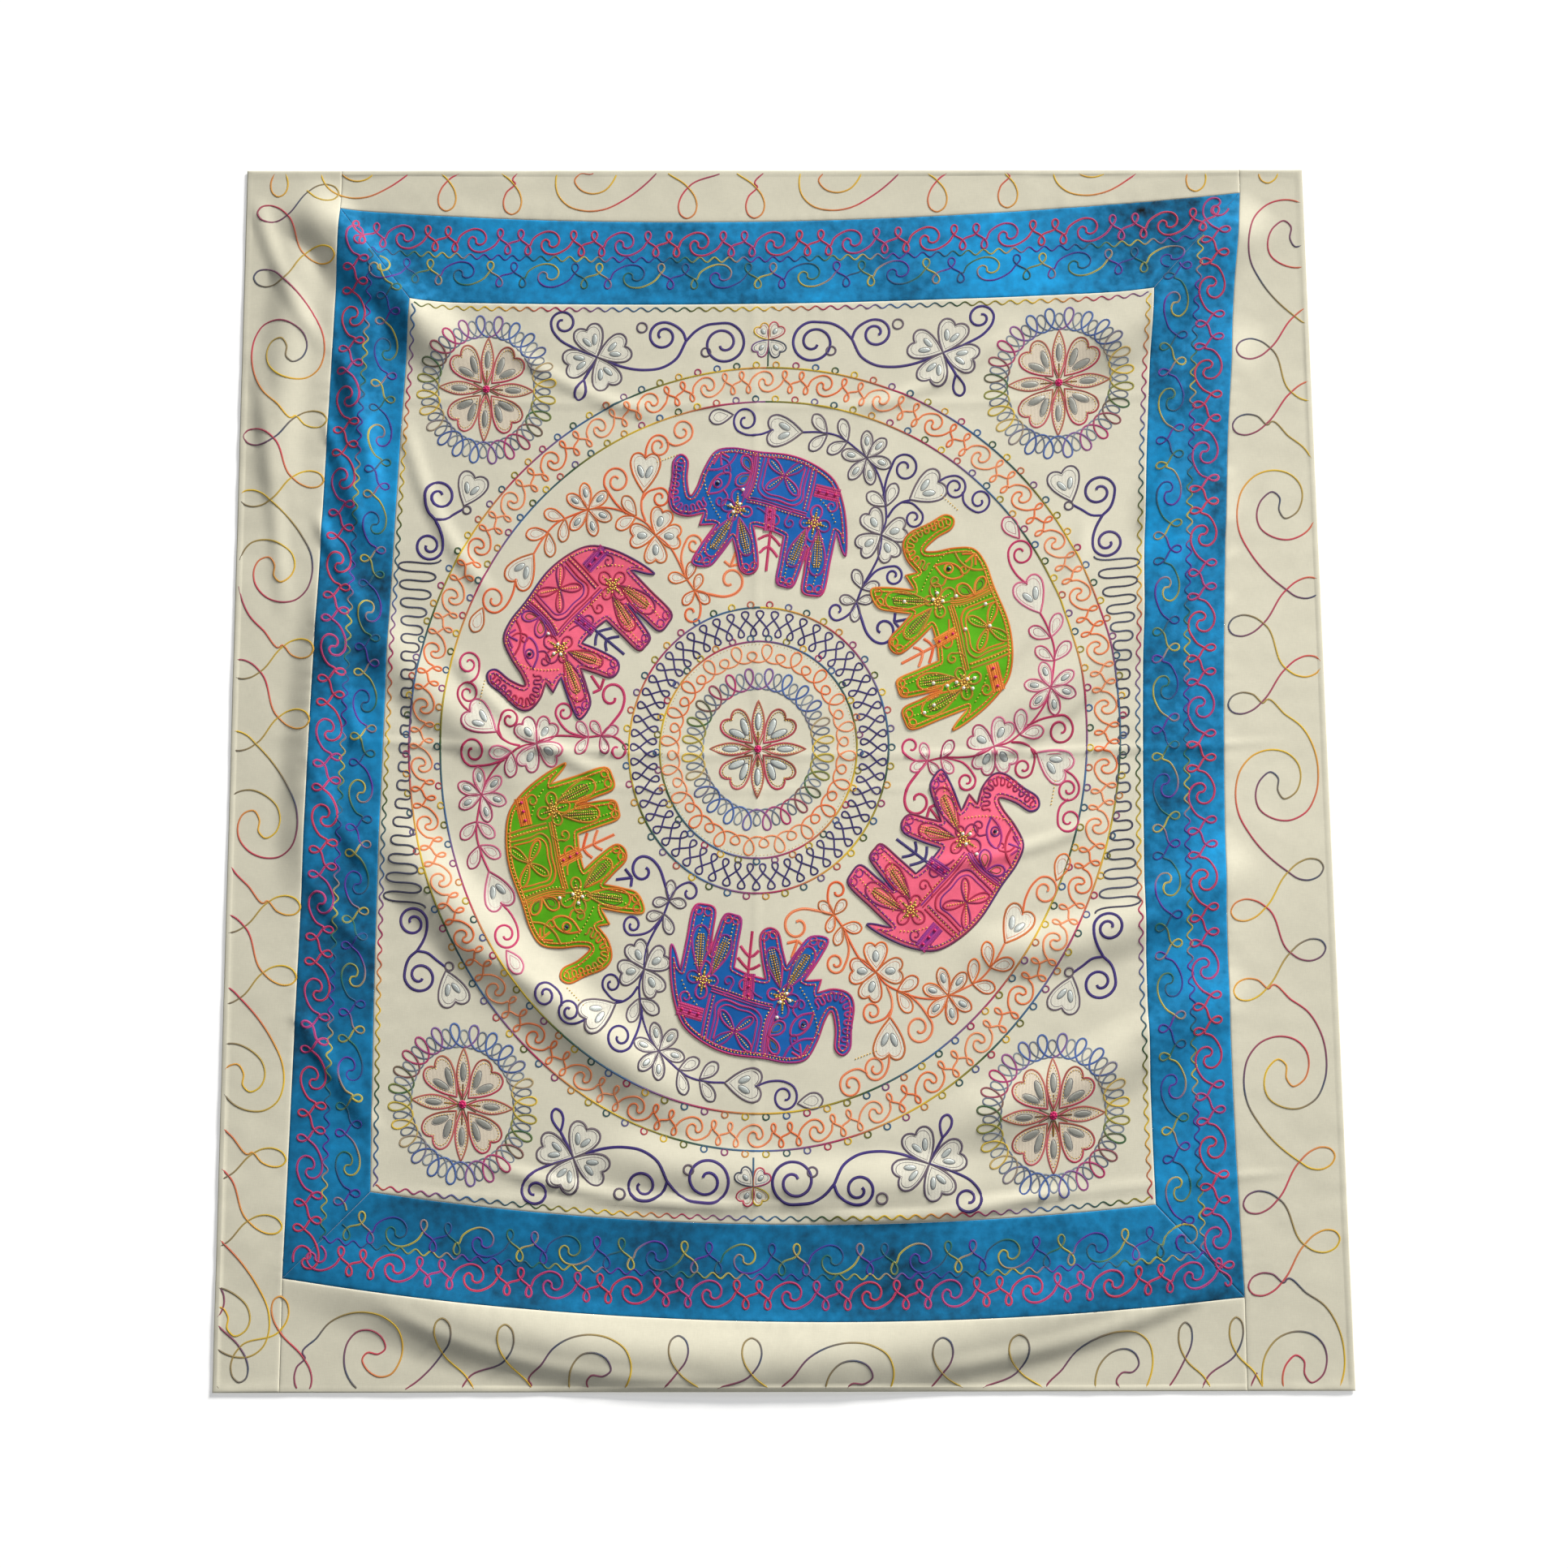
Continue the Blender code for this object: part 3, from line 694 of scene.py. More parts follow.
class Motif:
    """Stitched lines, zari pads and beads."""

    def __init__(self):
        self.lines = []
        self.pads = []
        self.beads = []
        self.fills = []

    def line(self, points, yarn, width):
        self.lines.append(Line(points_of(points), yarn, width))

    def pad(self, start, end, width, finish="silver"):
        """A zari pad with a ring of fine thread round it."""
        self.pads.append(Pad(points_of(start), points_of(end), width, finish))
        length = math.hypot(*(points_of(end) - points_of(start))[0])
        angle = np.linspace(0, 2 * math.pi, PAD_RING_STOPS)
        oval = np.stack([0.5 + 0.5 * np.cos(angle), 0.5 * width / length * np.sin(angle)], 1)
        self.line(set_on(oval, start, end), "pewter", PAD_RING_WIDTH)

    def bead(self, points, radius, finish="gold"):
        self.beads.append(Bead(points_of(points), radius, finish))

    def fill(self, outline, finish="sheer", middle=None):
        """A sheer layer of fine thread inside an outline that can all be seen from its middle."""
        outline = points_of(outline)
        middle = middle_of(outline) if middle is None else points_of(middle)[0]
        self.fills.append(Fill(outline, middle, finish))

    def add(self, motif, change, yarns=None):
        """Another motif, with its points changed and its yarns renamed."""
        yarns = yarns or {}
        for line in motif.lines:
            self.lines.append(Line(change(line.points), yarns.get(line.yarn, line.yarn), line.width))
        for pad in motif.pads:
            self.pads.append(Pad(change(pad.start), change(pad.end), pad.width, pad.finish))
        for bead in motif.beads:
            self.beads.append(Bead(change(bead.points), bead.radius, yarns.get(bead.finish, bead.finish)))
        for fill in motif.fills:
            self.fills.append(Fill(change(fill.outline), change(fill.middle)[0], fill.finish))


def placed(at=(0, 0), turn=0, flip=False, tall=1.0):
    """A change that mirrors, turns, stretches upward and moves points, in that order."""

    def change(points):
        points = points_of(points) * ((-1, 1) if flip else (1, 1))
        return turned(points, turn) * (1, tall) + points_of(at)

    return change


# Embroidery meshes.

THREAD_RISE = 0.0013
THREAD_BREADTH = 1.62  # breadth of a thread's ridge, as a share of its width
THREAD_SINK = 0.0002
FULL_WIDTH = 3  # the width from which a thread has its full rise
EDGE_MARGIN = 0.006  # embroidery stops this far inside the outer edge
SHEER_RISE = 0.00035
SHEER_RINGS = (1.0, 0.6, 0.25)  # shares of the outline's reach
PAD_RINGS = ((1.0, 0.0), (0.86, 0.62), (0.50, 0.94), (0.0, 1.0))  # share of the radius, share of the rise
PAD_SIDES = 14
PAD_RISE = 0.0011
BEAD_RINGS = ((1.0, 0.0), (0.72, 0.72), (0.0, 1.0))
BEAD_SIDES = 6
BEAD_RISE = 0.95  # share of the bead's radius
NEXT_THREAD = 0.137  # how much further on in its run of colours each thread starts than the one before


def faces_to_middle(sides, rings):
    """The faces between rings of points, counted from the outside, and the one point in their middle."""
    faces = []
    for ring in range(rings):
        for side in range(sides):
            a, b = ring * sides + side, ring * sides + (side + 1) % sides
            faces.append((a, b, b + sides, a + sides) if ring < rings - 1 else (a, b, rings * sides))
    return faces


class Stitches:
    """Gathers the points and faces of one piece of embroidery."""

    def __init__(self, top):
        self.top = top
        self.flat, self.rise, self.marks = [], [], []
        self.faces, self.finishes = [], []
        self.count = 0

    def add(self, xy, rise, marks, faces, finish):
        self.flat.append(xy)
        self.rise.append(rise)
        self.marks.append(marks)
        self.faces.extend([number + self.count for number in face] for face in faces)
        self.finishes.extend([finish] * len(faces))
        self.count += len(xy)

    def thread(self, line, start):
        """A low ridge of thread, in as many stretches as lie on the cloth."""
        x, y = lie(*(line.points.T * MM))
        on_cloth = inside_edge(x, y) > EDGE_MARGIN
        changes = np.flatnonzero(np.diff(np.concatenate([[0], on_cloth.astype(int), [0]])))
        for first, last in zip(changes[::2], changes[1::2]):
            if last - first > 1:
                self.stretch(np.stack([x[first:last], y[first:last]], 1), line, start)

    def stretch(self, path, line, start):
        tangent = np.gradient(path, axis=0)
        if np.allclose(path[0], path[-1], atol=1e-5):
            tangent[0] = tangent[-1] = path[1] - path[-2]
        tangent /= np.maximum(lengths_of(tangent), 1e-9)[:, None]
        half = leftward(tangent) * line.width * THREAD_BREADTH * MM / 2
        rows = len(path)
        xy = np.stack([path + half, path, path - half], 1).reshape(-1, 2)
        rise = np.tile([-THREAD_SINK, THREAD_RISE * min(1.0, line.width / FULL_WIDTH), -THREAD_SINK], rows)
        marks = np.stack([np.repeat(start + run_along(path), 3), np.tile([0.0, 0.5, 1.0], rows)], 1)
        self.add(xy, rise, marks, grid_quads(rows, 3)[:, ::-1].tolist(), line.yarn)

    def layer(self, fill):
        """A thin flat layer inside an outline."""
        arms = fill.outline - fill.middle
        flat = np.vstack([*(fill.middle + arms * share for share in SHEER_RINGS), fill.middle])
        x, y = lie(*(flat.T * MM))
        if inside_edge(x, y).min() < EDGE_MARGIN:
            return
        faces = faces_to_middle(len(arms), len(SHEER_RINGS))
        if anticlockwise(fill.outline) < 0:
            faces = [face[::-1] for face in faces]
        marks = (flat - fill.middle) * MM
        self.add(np.stack([x, y], 1), np.full(len(x), SHEER_RISE), marks, faces, fill.finish)

    def dome(self, middles, along, across, rings, sides, height, finish):
        """Low domes: middles, and half their length and breadth as arrows, all in millimetres."""
        ring = on_circle(np.arange(sides) * 2 * math.pi / sides)
        shape = np.vstack([*(ring * reach for reach, _ in rings[:-1]), np.zeros((1, 2))])
        lift = np.array([level for _, level in rings[:-1] for _ in range(sides)] + [rings[-1][1]])
        faces = faces_to_middle(sides, len(rings) - 1)
        size = len(shape)
        flat = (
            middles[:, None]
            + shape[None, :, :1] * along[:, None]
            + shape[None, :, 1:] * across[:, None]
        )
        x, y = lie(*(flat.reshape(-1, 2).T * MM))
        kept = (inside_edge(x, y) > EDGE_MARGIN).reshape(-1, size).all(1)
        points = np.stack([x, y], 1).reshape(-1, size, 2)[kept]
        for one, length in zip(points, lengths_of(along)[kept] * MM):
            self.add(one, lift * height, shape * length, faces, finish)

    def mesh(self, name):
        flat = np.vstack(self.flat)
        z = self.top(flat[:, 0], flat[:, 1]) + np.concatenate(self.rise)
        mesh = mesh_from(name, np.column_stack([flat, z]), self.faces)
        used = sorted(set(self.finishes))
        for finish in used:
            mesh.materials.append(finish_material(finish))
        slots = {finish: number for number, finish in enumerate(used)}
        mesh.polygons.foreach_set("material_index", [slots[finish] for finish in self.finishes])
        corners = np.empty(len(mesh.loops), int)
        mesh.loops.foreach_get("vertex_index", corners)
        marks = mesh.uv_layers.new(name="stitch_run")
        marks.uv.foreach_set("vector", np.vstack(self.marks)[corners].astype(np.float32).ravel())
        mesh.update()
        return mesh


def embroider(name, motif, slot="centre_panel", top=cloth_top):
    """The piece of embroidery that a motif describes, laid on top."""
    stitches = Stitches(top)
    for number, line in enumerate(motif.lines):
        stitches.thread(line, start=number * NEXT_THREAD)
    for fill in motif.fills:
        stitches.layer(fill)
    for pad in motif.pads:
        along = (pad.end - pad.start) / 2
        across = leftward(along) * (pad.width / 2 / max(math.hypot(*along[0]), 1e-6))
        stitches.dome((pad.start + pad.end) / 2, along, across, PAD_RINGS, PAD_SIDES, PAD_RISE, pad.finish)
    for bead in motif.beads:
        along, across = (np.tile(arrow, (len(bead.points), 1)) for arrow in np.eye(2) * bead.radius)
        height = bead.radius * MM * BEAD_RISE
        stitches.dome(bead.points, along, across, BEAD_RINGS, BEAD_SIDES, height, bead.finish)
    piece = new_object(name, stitches.mesh(name))
    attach(piece, BODY)


# Colours, yarns and materials.


def from_screen(*colour):
    """A colour given as on a screen, from 0 to 255, as the renderer's linear colour."""
    linear = []
    for value in colour:
        value = value / 255
        linear.append(value / 12.92 if value <= 0.04045 else ((value + 0.055) / 1.055) ** 2.4)
    return (*linear, 1.0)


Yarn = namedtuple("Yarn", "repeat colours")
YARNS = {
    "garden": Yarn(0.62, ((48, 84, 40), (232, 194, 50), (184, 42, 86), (66, 106, 156))),
    "mist": Yarn(0.50, ((118, 128, 146), (150, 158, 168), (110, 116, 132))),
    "rosewood": Yarn(0.40, ((212, 96, 110), (150, 74, 52), (200, 58, 92), (176, 104, 76))),
    "bronze": Yarn(0.10, ((118, 84, 30), (160, 122, 44), (96, 70, 34))),
    "rust": Yarn(0.12, ((120, 84, 40), (158, 116, 44), (104, 70, 44))),
    "orange": Yarn(0.90, ((240, 126, 74), (234, 98, 44), (244, 142, 94))),
    "peach": Yarn(0.90, ((242, 142, 88), (238, 118, 62), (247, 158, 110))),
    "indigo": Yarn(0.70, ((56, 44, 112), (72, 60, 118), (48, 36, 102))),
    "slate": Yarn(0.60, ((72, 76, 92), (88, 90, 112), (66, 62, 84))),
    "sunset": Yarn(0.56, ((240, 200, 58), (214, 76, 92), (78, 88, 112))),
    "jewel": Yarn(0.34, ((92, 44, 160), (38, 60, 150), (24, 106, 92), (196, 182, 72))),
    "candy": Yarn(0.80, ((194, 50, 102), (172, 58, 128), (200, 56, 90))),
    "plum": Yarn(0.30, ((106, 34, 92), (84, 44, 104), (80, 34, 112), (134, 40, 76))),
    "crimson": Yarn(0.26, ((178, 28, 78), (126, 26, 100), (196, 40, 76))),
    "magenta": Yarn(0.40, ((206, 48, 118), (184, 50, 104), (170, 44, 132))),
    "wine": Yarn(0.22, ((158, 44, 140), (118, 34, 128), (190, 46, 120))),
    "tangerine": Yarn(0.40, ((230, 126, 28), (214, 104, 20), (238, 142, 44))),
    "moss": Yarn(0.24, ((206, 140, 22), (226, 120, 26), (176, 132, 30))),
    "violet": Yarn(0.70, ((60, 42, 124), (54, 38, 108), (74, 54, 122))),
    "dusk": Yarn(0.50, ((104, 90, 108), (92, 80, 96), (118, 104, 112))),
    "rose": Yarn(0.70, ((196, 44, 96), (178, 40, 84), (206, 60, 110))),
    "blush": Yarn(0.50, ((208, 92, 124), (164, 58, 96), (218, 120, 150))),
    "pewter": Yarn(0.20, ((92, 92, 100), (112, 110, 112), (84, 88, 100))),
    "rainbow": Yarn(1.30, ((84, 114, 176), (70, 94, 156), (232, 196, 70), (62, 110, 66), (192, 50, 110))),
    "apricot": Yarn(0.50, ((238, 124, 54), (216, 100, 40), (190, 112, 62))),
}


def add_node(tree, kind, links=None, values=None, **settings):
    """A new node with its settings, and its inputs given as values or as links from other nodes."""
    node = tree.nodes.new(kind)
    for name, value in settings.items():
        setattr(node, name, value)
    for socket, value in (values or {}).items():
        node.inputs[socket].default_value = value
    for socket, source in (links or {}).items():
        tree.links.new(source, node.inputs[socket])
    return node


def math_node(tree, operation, *inputs):
    """What a Math node makes of numbers or other nodes' sockets."""
    values = {number: value for number, value in enumerate(inputs) if isinstance(value, (int, float))}
    links = {number: value for number, value in enumerate(inputs) if number not in values}
    return add_node(tree, "ShaderNodeMath", links, values, operation=operation).outputs[0]


def times(tree, a, b):
    return math_node(tree, "MULTIPLY", a, b)


def plus(tree, a, b):
    return math_node(tree, "ADD", a, b)


def ranged(tree, value, given, wanted, **settings):
    """A value in a given range, stretched to the wanted one."""
    limits = dict(zip(("From Min", "From Max", "To Min", "To Max"), given + wanted))
    return add_node(tree, "ShaderNodeMapRange", {"Value": value}, limits, **settings).outputs[0]


def noise(tree, place, scale, detail):
    values = {"Scale": scale, "Detail": detail}
    return add_node(tree, "ShaderNodeTexNoise", {"Vector": place}, values).outputs[0]


def parts_of(tree, vector):
    return add_node(tree, "ShaderNodeSeparateXYZ", {0: vector}).outputs


def new_group(name, inputs, outputs):
    """An empty shader node group. Its inputs have a default each, or None for a vector."""
    tree = bpy.data.node_groups.new(name, "ShaderNodeTree")
    for socket, default in inputs.items():
        kind = "NodeSocketVector" if default is None else "NodeSocketFloat"
        made = tree.interface.new_socket(name=socket, in_out="INPUT", socket_type=kind)
        if default is not None:
            made.default_value = default
    for socket in outputs:
        tree.interface.new_socket(name=socket, in_out="OUTPUT", socket_type="NodeSocketFloat")
    return tree, tree.nodes.new("NodeGroupInput").outputs, tree.nodes.new("NodeGroupOutput").inputs


SLUB_SCALES = ((70.0, 520.0, 1.0), (520.0, 70.0, 1.0))  # long streaks in the cloth's two ways


def cotton_weave():
    """Plain weave with slubs. Height is the relief of the threads and slubs, and Shade follows the slubs.
    """
    inputs = {"Vector": None, "Threads": 1100.0, "Slub": 0.5}
    tree, given, result = new_group("cotton weave", inputs, ("Height", "Shade"))
    parts = parts_of(tree, given["Vector"])
    turn = times(tree, given["Threads"], math.pi)
    over = math_node(tree, "SINE", times(tree, parts[0], turn))
    under = math_node(tree, "SINE", times(tree, parts[1], turn))
    streaks = []
    for scale in SLUB_SCALES:
        links, values = {0: given["Vector"]}, {1: scale}
        place = add_node(tree, "ShaderNodeVectorMath", links, values, operation="MULTIPLY")
        streaks.append(noise(tree, place.outputs[0], scale=1.0, detail=2.0))
    slubs = plus(tree, *streaks)
    height = plus(tree, times(tree, times(tree, over, under), 0.35), times(tree, slubs, given["Slub"]))
    tree.links.new(height, result["Height"])
    tree.links.new(ranged(tree, slubs, (0.6, 1.4), (0.94, 1.03)), result["Shade"])
    return tree


LIGHTER_RIGHT = 0.16  # how much lighter the colour is made for each metre to the right
LIGHTER_UP = 0.22  # and for each metre upward


def uneven_dye_and_shade():
    """Slow changes of tone round 1, with a finer mottle: uneven dyeing, and painted shade where Depth is
    large. It can also lighten toward the top right.
    """
    tree, given, result = new_group("uneven dye", {"Vector": None, "Depth": 0.12, "Fade": 0.0}, ("Shade",))
    slow = noise(tree, given["Vector"], scale=3.2, detail=3.0)
    fine = noise(tree, given["Vector"], scale=55.0, detail=4.0)
    both = plus(tree, times(tree, fine, 0.5), slow)
    swing = times(tree, math_node(tree, "SUBTRACT", both, 0.75), given["Depth"])
    mottled = plus(tree, times(tree, swing, 2.0), 1.0)
    parts = parts_of(tree, given["Vector"])
    aside = plus(tree, times(tree, parts[0], LIGHTER_RIGHT), times(tree, parts[1], LIGHTER_UP))
    lightened = plus(tree, times(tree, aside, given["Fade"]), 1.0)
    tree.links.new(times(tree, mottled, lightened), result["Shade"])
    return tree


STITCH = 0.0032  # length of a chain stitch
LOOP_SPREAD = 0.62  # how wide a link opens at its far end, as a share of the thread's width


def chain_stitch():
    """Links of chain stitch. Along is metres along the thread, and Across runs from 0 to 1 over it."""
    inputs = {"Along": 0.0, "Across": 0.5, "Stitch": STITCH}
    tree, given, result = new_group("chain stitch", inputs, ("Height", "Shade"))
    link = math_node(tree, "FRACT", math_node(tree, "DIVIDE", given["Along"], given["Stitch"]))
    spread = times(tree, math_node(tree, "SQRT", link), LOOP_SPREAD)
    side = math_node(tree, "ABSOLUTE", math_node(tree, "SUBTRACT", given["Across"], 0.5))
    away = math_node(tree, "ABSOLUTE", math_node(tree, "SUBTRACT", times(tree, side, 2.0), spread))
    strand = ranged(tree, away, (0.05, 0.42), (1.0, 0.0), interpolation_type="SMOOTHSTEP")
    tree.links.new(strand, result["Height"])
    # Painted shade: the thread's colour is darker in the gaps between the strands of each link.
    tree.links.new(plus(tree, times(tree, strand, 0.30), 0.76), result["Shade"])
    return tree


GROUPS = {"cotton weave": cotton_weave, "uneven dye": uneven_dye_and_shade, "chain stitch": chain_stitch}


def group_node(tree, name, links, values):
    """What a shared group puts out. The group is made the first time it is asked for."""
    group = bpy.data.node_groups.get(name) or GROUPS[name]()
    return add_node(tree, "ShaderNodeGroup", links, values, node_tree=group).outputs


def new_material(name, colour, roughness, sheen=0.0, metallic=0.0):
    material = bpy.data.materials.new(name)
    material.use_nodes = True
    material.diffuse_color = colour
    shader = material.node_tree.nodes["Principled BSDF"]
    shader.inputs["Base Color"].default_value = colour
    shader.inputs["Roughness"].default_value = roughness
    shader.inputs["Sheen Weight"].default_value = sheen
    shader.inputs["Sheen Roughness"].default_value = 0.5
    shader.inputs["Metallic"].default_value = metallic
    shader.inputs["Specular IOR Level"].default_value = 0.3
    return material, material.node_tree, shader


def multiplied(tree, colour, *shades):
    """A colour, given as a value or a socket, darkened or lightened by shades."""
    for shade in shades:
        links, values = {7: shade}, {0: 1.0}
        (values if isinstance(colour, tuple) else links)[6] = colour
        mixer = add_node(tree, "ShaderNodeMix", links, values, data_type="RGBA", blend_type="MULTIPLY")
        colour = mixer.outputs[2]
    return colour


def add_relief(tree, shader, height, strength, distance):
    values = {"Strength": strength, "Distance": distance}
    bump = add_node(tree, "ShaderNodeBump", {"Height": height}, values)
    tree.links.new(bump.outputs[0], shader.inputs["Normal"])


def cloth_material(name, colour, mottle_depth, relief=0.25, sheen=0.1, fade=0.0):
    """Woven and dyed cotton."""
    material = bpy.data.materials.get(name)
    if material:
        return material
    material, tree, shader = new_material(name, colour, roughness=0.85, sheen=sheen)
    place = {"Vector": add_node(tree, "ShaderNodeTexCoord").outputs["Object"]}
    weave = group_node(tree, "cotton weave", place, {"Threads": 1100.0, "Slub": 0.5})
    dye_and_shade = group_node(tree, "uneven dye", place, {"Depth": mottle_depth, "Fade": fade})
    shaded = multiplied(tree, colour, weave["Shade"], dye_and_shade["Shade"])
    tree.links.new(shaded, shader.inputs["Base Color"])
    roughness = ranged(tree, dye_and_shade["Shade"], (0.9, 1.1), (0.92, 0.80))
    tree.links.new(roughness, shader.inputs["Roughness"])
    add_relief(tree, shader, weave["Height"], strength=relief, distance=0.0004)
    return material


def stitch_run(tree):
    """How far a place is along its thread, and across it."""
    return parts_of(tree, add_node(tree, "ShaderNodeUVMap", uv_map="stitch_run").outputs[0])


def yarn_material(name, yarn):
    """Space-dyed cotton yarn, worked in chain stitch."""
    first = from_screen(*yarn.colours[0])
    material, tree, shader = new_material(name, first, roughness=0.62, sheen=0.25)
    run = stitch_run(tree)
    share = math_node(tree, "FRACT", math_node(tree, "DIVIDE", run[0], yarn.repeat))
    ramp = add_node(tree, "ShaderNodeValToRGB", {0: share})
    stops = [*yarn.colours, yarn.colours[0]]
    while len(ramp.color_ramp.elements) < len(stops):
        ramp.color_ramp.elements.new(0.5)
    for number, (stop, colour) in enumerate(zip(ramp.color_ramp.elements, stops)):
        stop.position = number / (len(stops) - 1)
        stop.color = from_screen(*colour)
    chain = group_node(tree, "chain stitch", {"Along": run[0], "Across": run[1]}, {"Stitch": STITCH})
    # The chain stitch's painted shade darkens the yarn between its strands.
    tree.links.new(multiplied(tree, ramp.outputs[0], chain["Shade"]), shader.inputs["Base Color"])
    add_relief(tree, shader, chain["Height"], strength=0.7, distance=0.0006)
    return material


Finish = namedtuple("Finish", "colour roughness metallic pitch")
FINISHES = {
    "silver": Finish((196, 202, 198), 0.42, 0.35, 0.0013),
    "tarnish": Finish((164, 164, 156), 0.45, 0.35, 0.0013),
    "sheer": Finish((232, 228, 212), 0.75, 0.0, 0.0020),
    "dusky": Finish((226, 213, 192), 0.70, 0.0, 0.0020),
    "gold": Finish((244, 198, 92), 0.30, 0.45, 0.0011),
    # The sequin finish's near white is a painted glint.
    "sequin": Finish((255, 252, 236), 0.25, 0.15, 0.0030),
    "pupil": Finish((40, 30, 70), 0.55, 0.0, 0.0016),
    "knot": Finish((206, 34, 104), 0.60, 0.0, 0.0016),
}


def zari_material(name, finish):
    """Metal or silk thread wound close, with fine ribs across it."""
    colour = from_screen(*finish.colour)
    material, tree, shader = new_material(name, colour, finish.roughness, metallic=finish.metallic)
    # Painted shade and light: the colour darkens and lightens with the ribs between the close turns, and a
    # fine grain adds lighter and darker specks.
    ribs = math_node(tree, "SINE", times(tree, stitch_run(tree)[0], 2 * math.pi / finish.pitch))
    place = add_node(tree, "ShaderNodeTexCoord").outputs["Object"]
    grain = noise(tree, place, scale=900.0, detail=2.0)
    both = plus(tree, times(tree, ribs, 0.3), grain)
    shade = ranged(tree, both, (0.1, 0.9), (0.62, 1.18))
    tree.links.new(multiplied(tree, colour, shade), shader.inputs["Base Color"])
    add_relief(tree, shader, both, strength=0.5, distance=0.0004)
    return material


def finish_material(name):
    """The material of that yarn or zari finish, made the first time it is asked for."""
    material = bpy.data.materials.get(name)
    if material:
        return material
    if name in YARNS:
        return yarn_material(name, YARNS[name])
    return zari_material(name, FINISHES[name])


# Motifs, in millimetres. Flowers and elephants are drawn round their own middle, the others where they lie.


def outlined(motif, outline, yarn, width, inner=None, share=1.0, fill="sheer"):
    """A stitched outline over a sheer layer, with a finer line inside it that is a share as large."""
    if fill:
        motif.fill(outline, fill)
    motif.line(outline, yarn, width)
    if inner:
        motif.line(shrunk(outline, share), inner, 1.5)


def padded_petal(motif, shape, base, tip, breadth, yarn, width, share, pad):
    """A petal or a heart with a pad along it, given as its start, its end and its width."""
    outlined(motif, shape_between(shape, base, tip, breadth), yarn, width, yarn, share)
    start, end, pad_width = pad
    motif.pad(mix_points(base, tip, start), mix_points(base, tip, end), pad_width)


def vee_heart(motif, base, tip, breadth, yarn, width, share, pad_width):
    """A heart with two pads in it that open outward."""
    outlined(motif, shape_between(HEART, base, tip, breadth), yarn, width, yarn, share)
    base = np.array(base, float)
    run = np.array(tip, float) - base
    across = np.array([-run[1], run[0]])
    for side in (-1, 1):
        start = base + 0.37 * run + side * 0.045 * across
        motif.pad(start, base + 0.68 * run + side * 0.19 * across, pad_width)


KNOT_RADIUS = 8.0


def french_knot(motif):
    """A fat knot: a ring of small turns round a raised middle."""
    motif.bead(on_circle(np.arange(8) * math.pi / 4) * KNOT_RADIUS * 0.62, KNOT_RADIUS * 0.40, "knot")
    motif.bead((0, 0), KNOT_RADIUS * 0.60, "knot")


def eight_petal_flower(length, fill, pads):
    """Four pointed petals on the axes and four notched ones between them, with zari pads."""
    flower = Motif()
    for turn in (47, 133, 227, 313):
        heart = turned(shape_between(HEART, (0.17 * length, 0), (0.93 * length, 0), 0.98), turn)
        if fill:
            flower.fill(heart, fill, turned((0.54 * length, 0), turn))
        flower.line(heart, "rosewood", 3.0)
        flower.line(shrunk(heart, 0.83), "rust", 1.3)
        flower.bead(spaced(shrunk(heart, 0.83), 5.0), 1.3)
        for side in (-1, 1):
            start, end = (0.36 * length, side * 0.035 * length), (0.69 * length, side * 0.175 * length)
            flower.pad(turned(start, turn), turned(end, turn), 13, pads)
    for turn in (0, 90, 180, 270):
        petal = turned(shape_between(LEAF, (10, 0), (length, 0), 0.92), turn)
        if fill:
            flower.fill(petal, fill)
        flower.line(petal, "rosewood", 2.8)
        flower.bead(spaced(shrunk(petal, 0.78), 5.0), 1.3)
        start, end = turned((0.40 * length, 0), turn), turned((0.74 * length, 0), turn)
        flower.pad(start, end, 11, pads)
        flower.line([turned((8, 0), turn)[0], mix_points((0, 0), start, 0.9)], "rust", 3.0)
    for turn in range(22, 360, 45):
        flower.line(turned([(8, 0), (0.30 * length, 0)], turn), "rust", 1.8)
    french_knot(flower)
    return flower


def double_coil(motif, ring, count, heights):
    """Two rings of loops, the fainter and shorter one between the turns of the other."""
    motif.line(coil(ring, count, heights[1:], 12.0, start=0.5), "mist", 2.4)
    motif.line(coil(ring, count, heights[:1], 12.5), "rainbow", 2.8)


def rosette():
    """A corner rosette: the flower in a double ring of loops."""
    motif = Motif()
    motif.add(eight_petal_flower(96, "dusky", "tarnish"), placed(tall=TALL))
    double_coil(motif, round_line((0, 0), 97, TALL), 24, (45, 37, 33))
    return motif


CIRCLE_RADIUS = 6.0


def ring_of_circles(motif, middle, radius, count):
    """A stitched ring with small circles that stand on its outer side."""
    ring = round_line(middle, radius, TALL)
    motif.line(ring, "garden", 2.8)
    along = (np.arange(count) + 0.5) / count * length_of(ring)
    for spot in on_path(ring, along, np.full(count, CIRCLE_RADIUS)):
        motif.line(round_line(spot, CIRCLE_RADIUS, step=3.0), "garden", 2.4)


def medallion():
    """The middle: a flower in three rings of loops and two rings of small circles."""
    motif = Motif()
    middle = (-10, 4)
    motif.add(eight_petal_flower(92, None, "silver"), placed(middle, tall=1.03))
    double_coil(motif, round_line(middle, 105, TALL), 24, (41, 35, 31))
    motif.line(coil(round_line(middle, 152, TALL), 40, (36, 21), 14), "peach", 2.6)
    motif.bead(spaced(round_line(middle, 184, TALL), 7), 0.9)
    ring_of_circles(motif, middle, 189, 37)
    motif.line(wave(round_line(middle, 221, TALL), 56, 25, 9.5), "indigo", 2.6)
    ring_of_circles(motif, middle, 249, 46)
    return motif


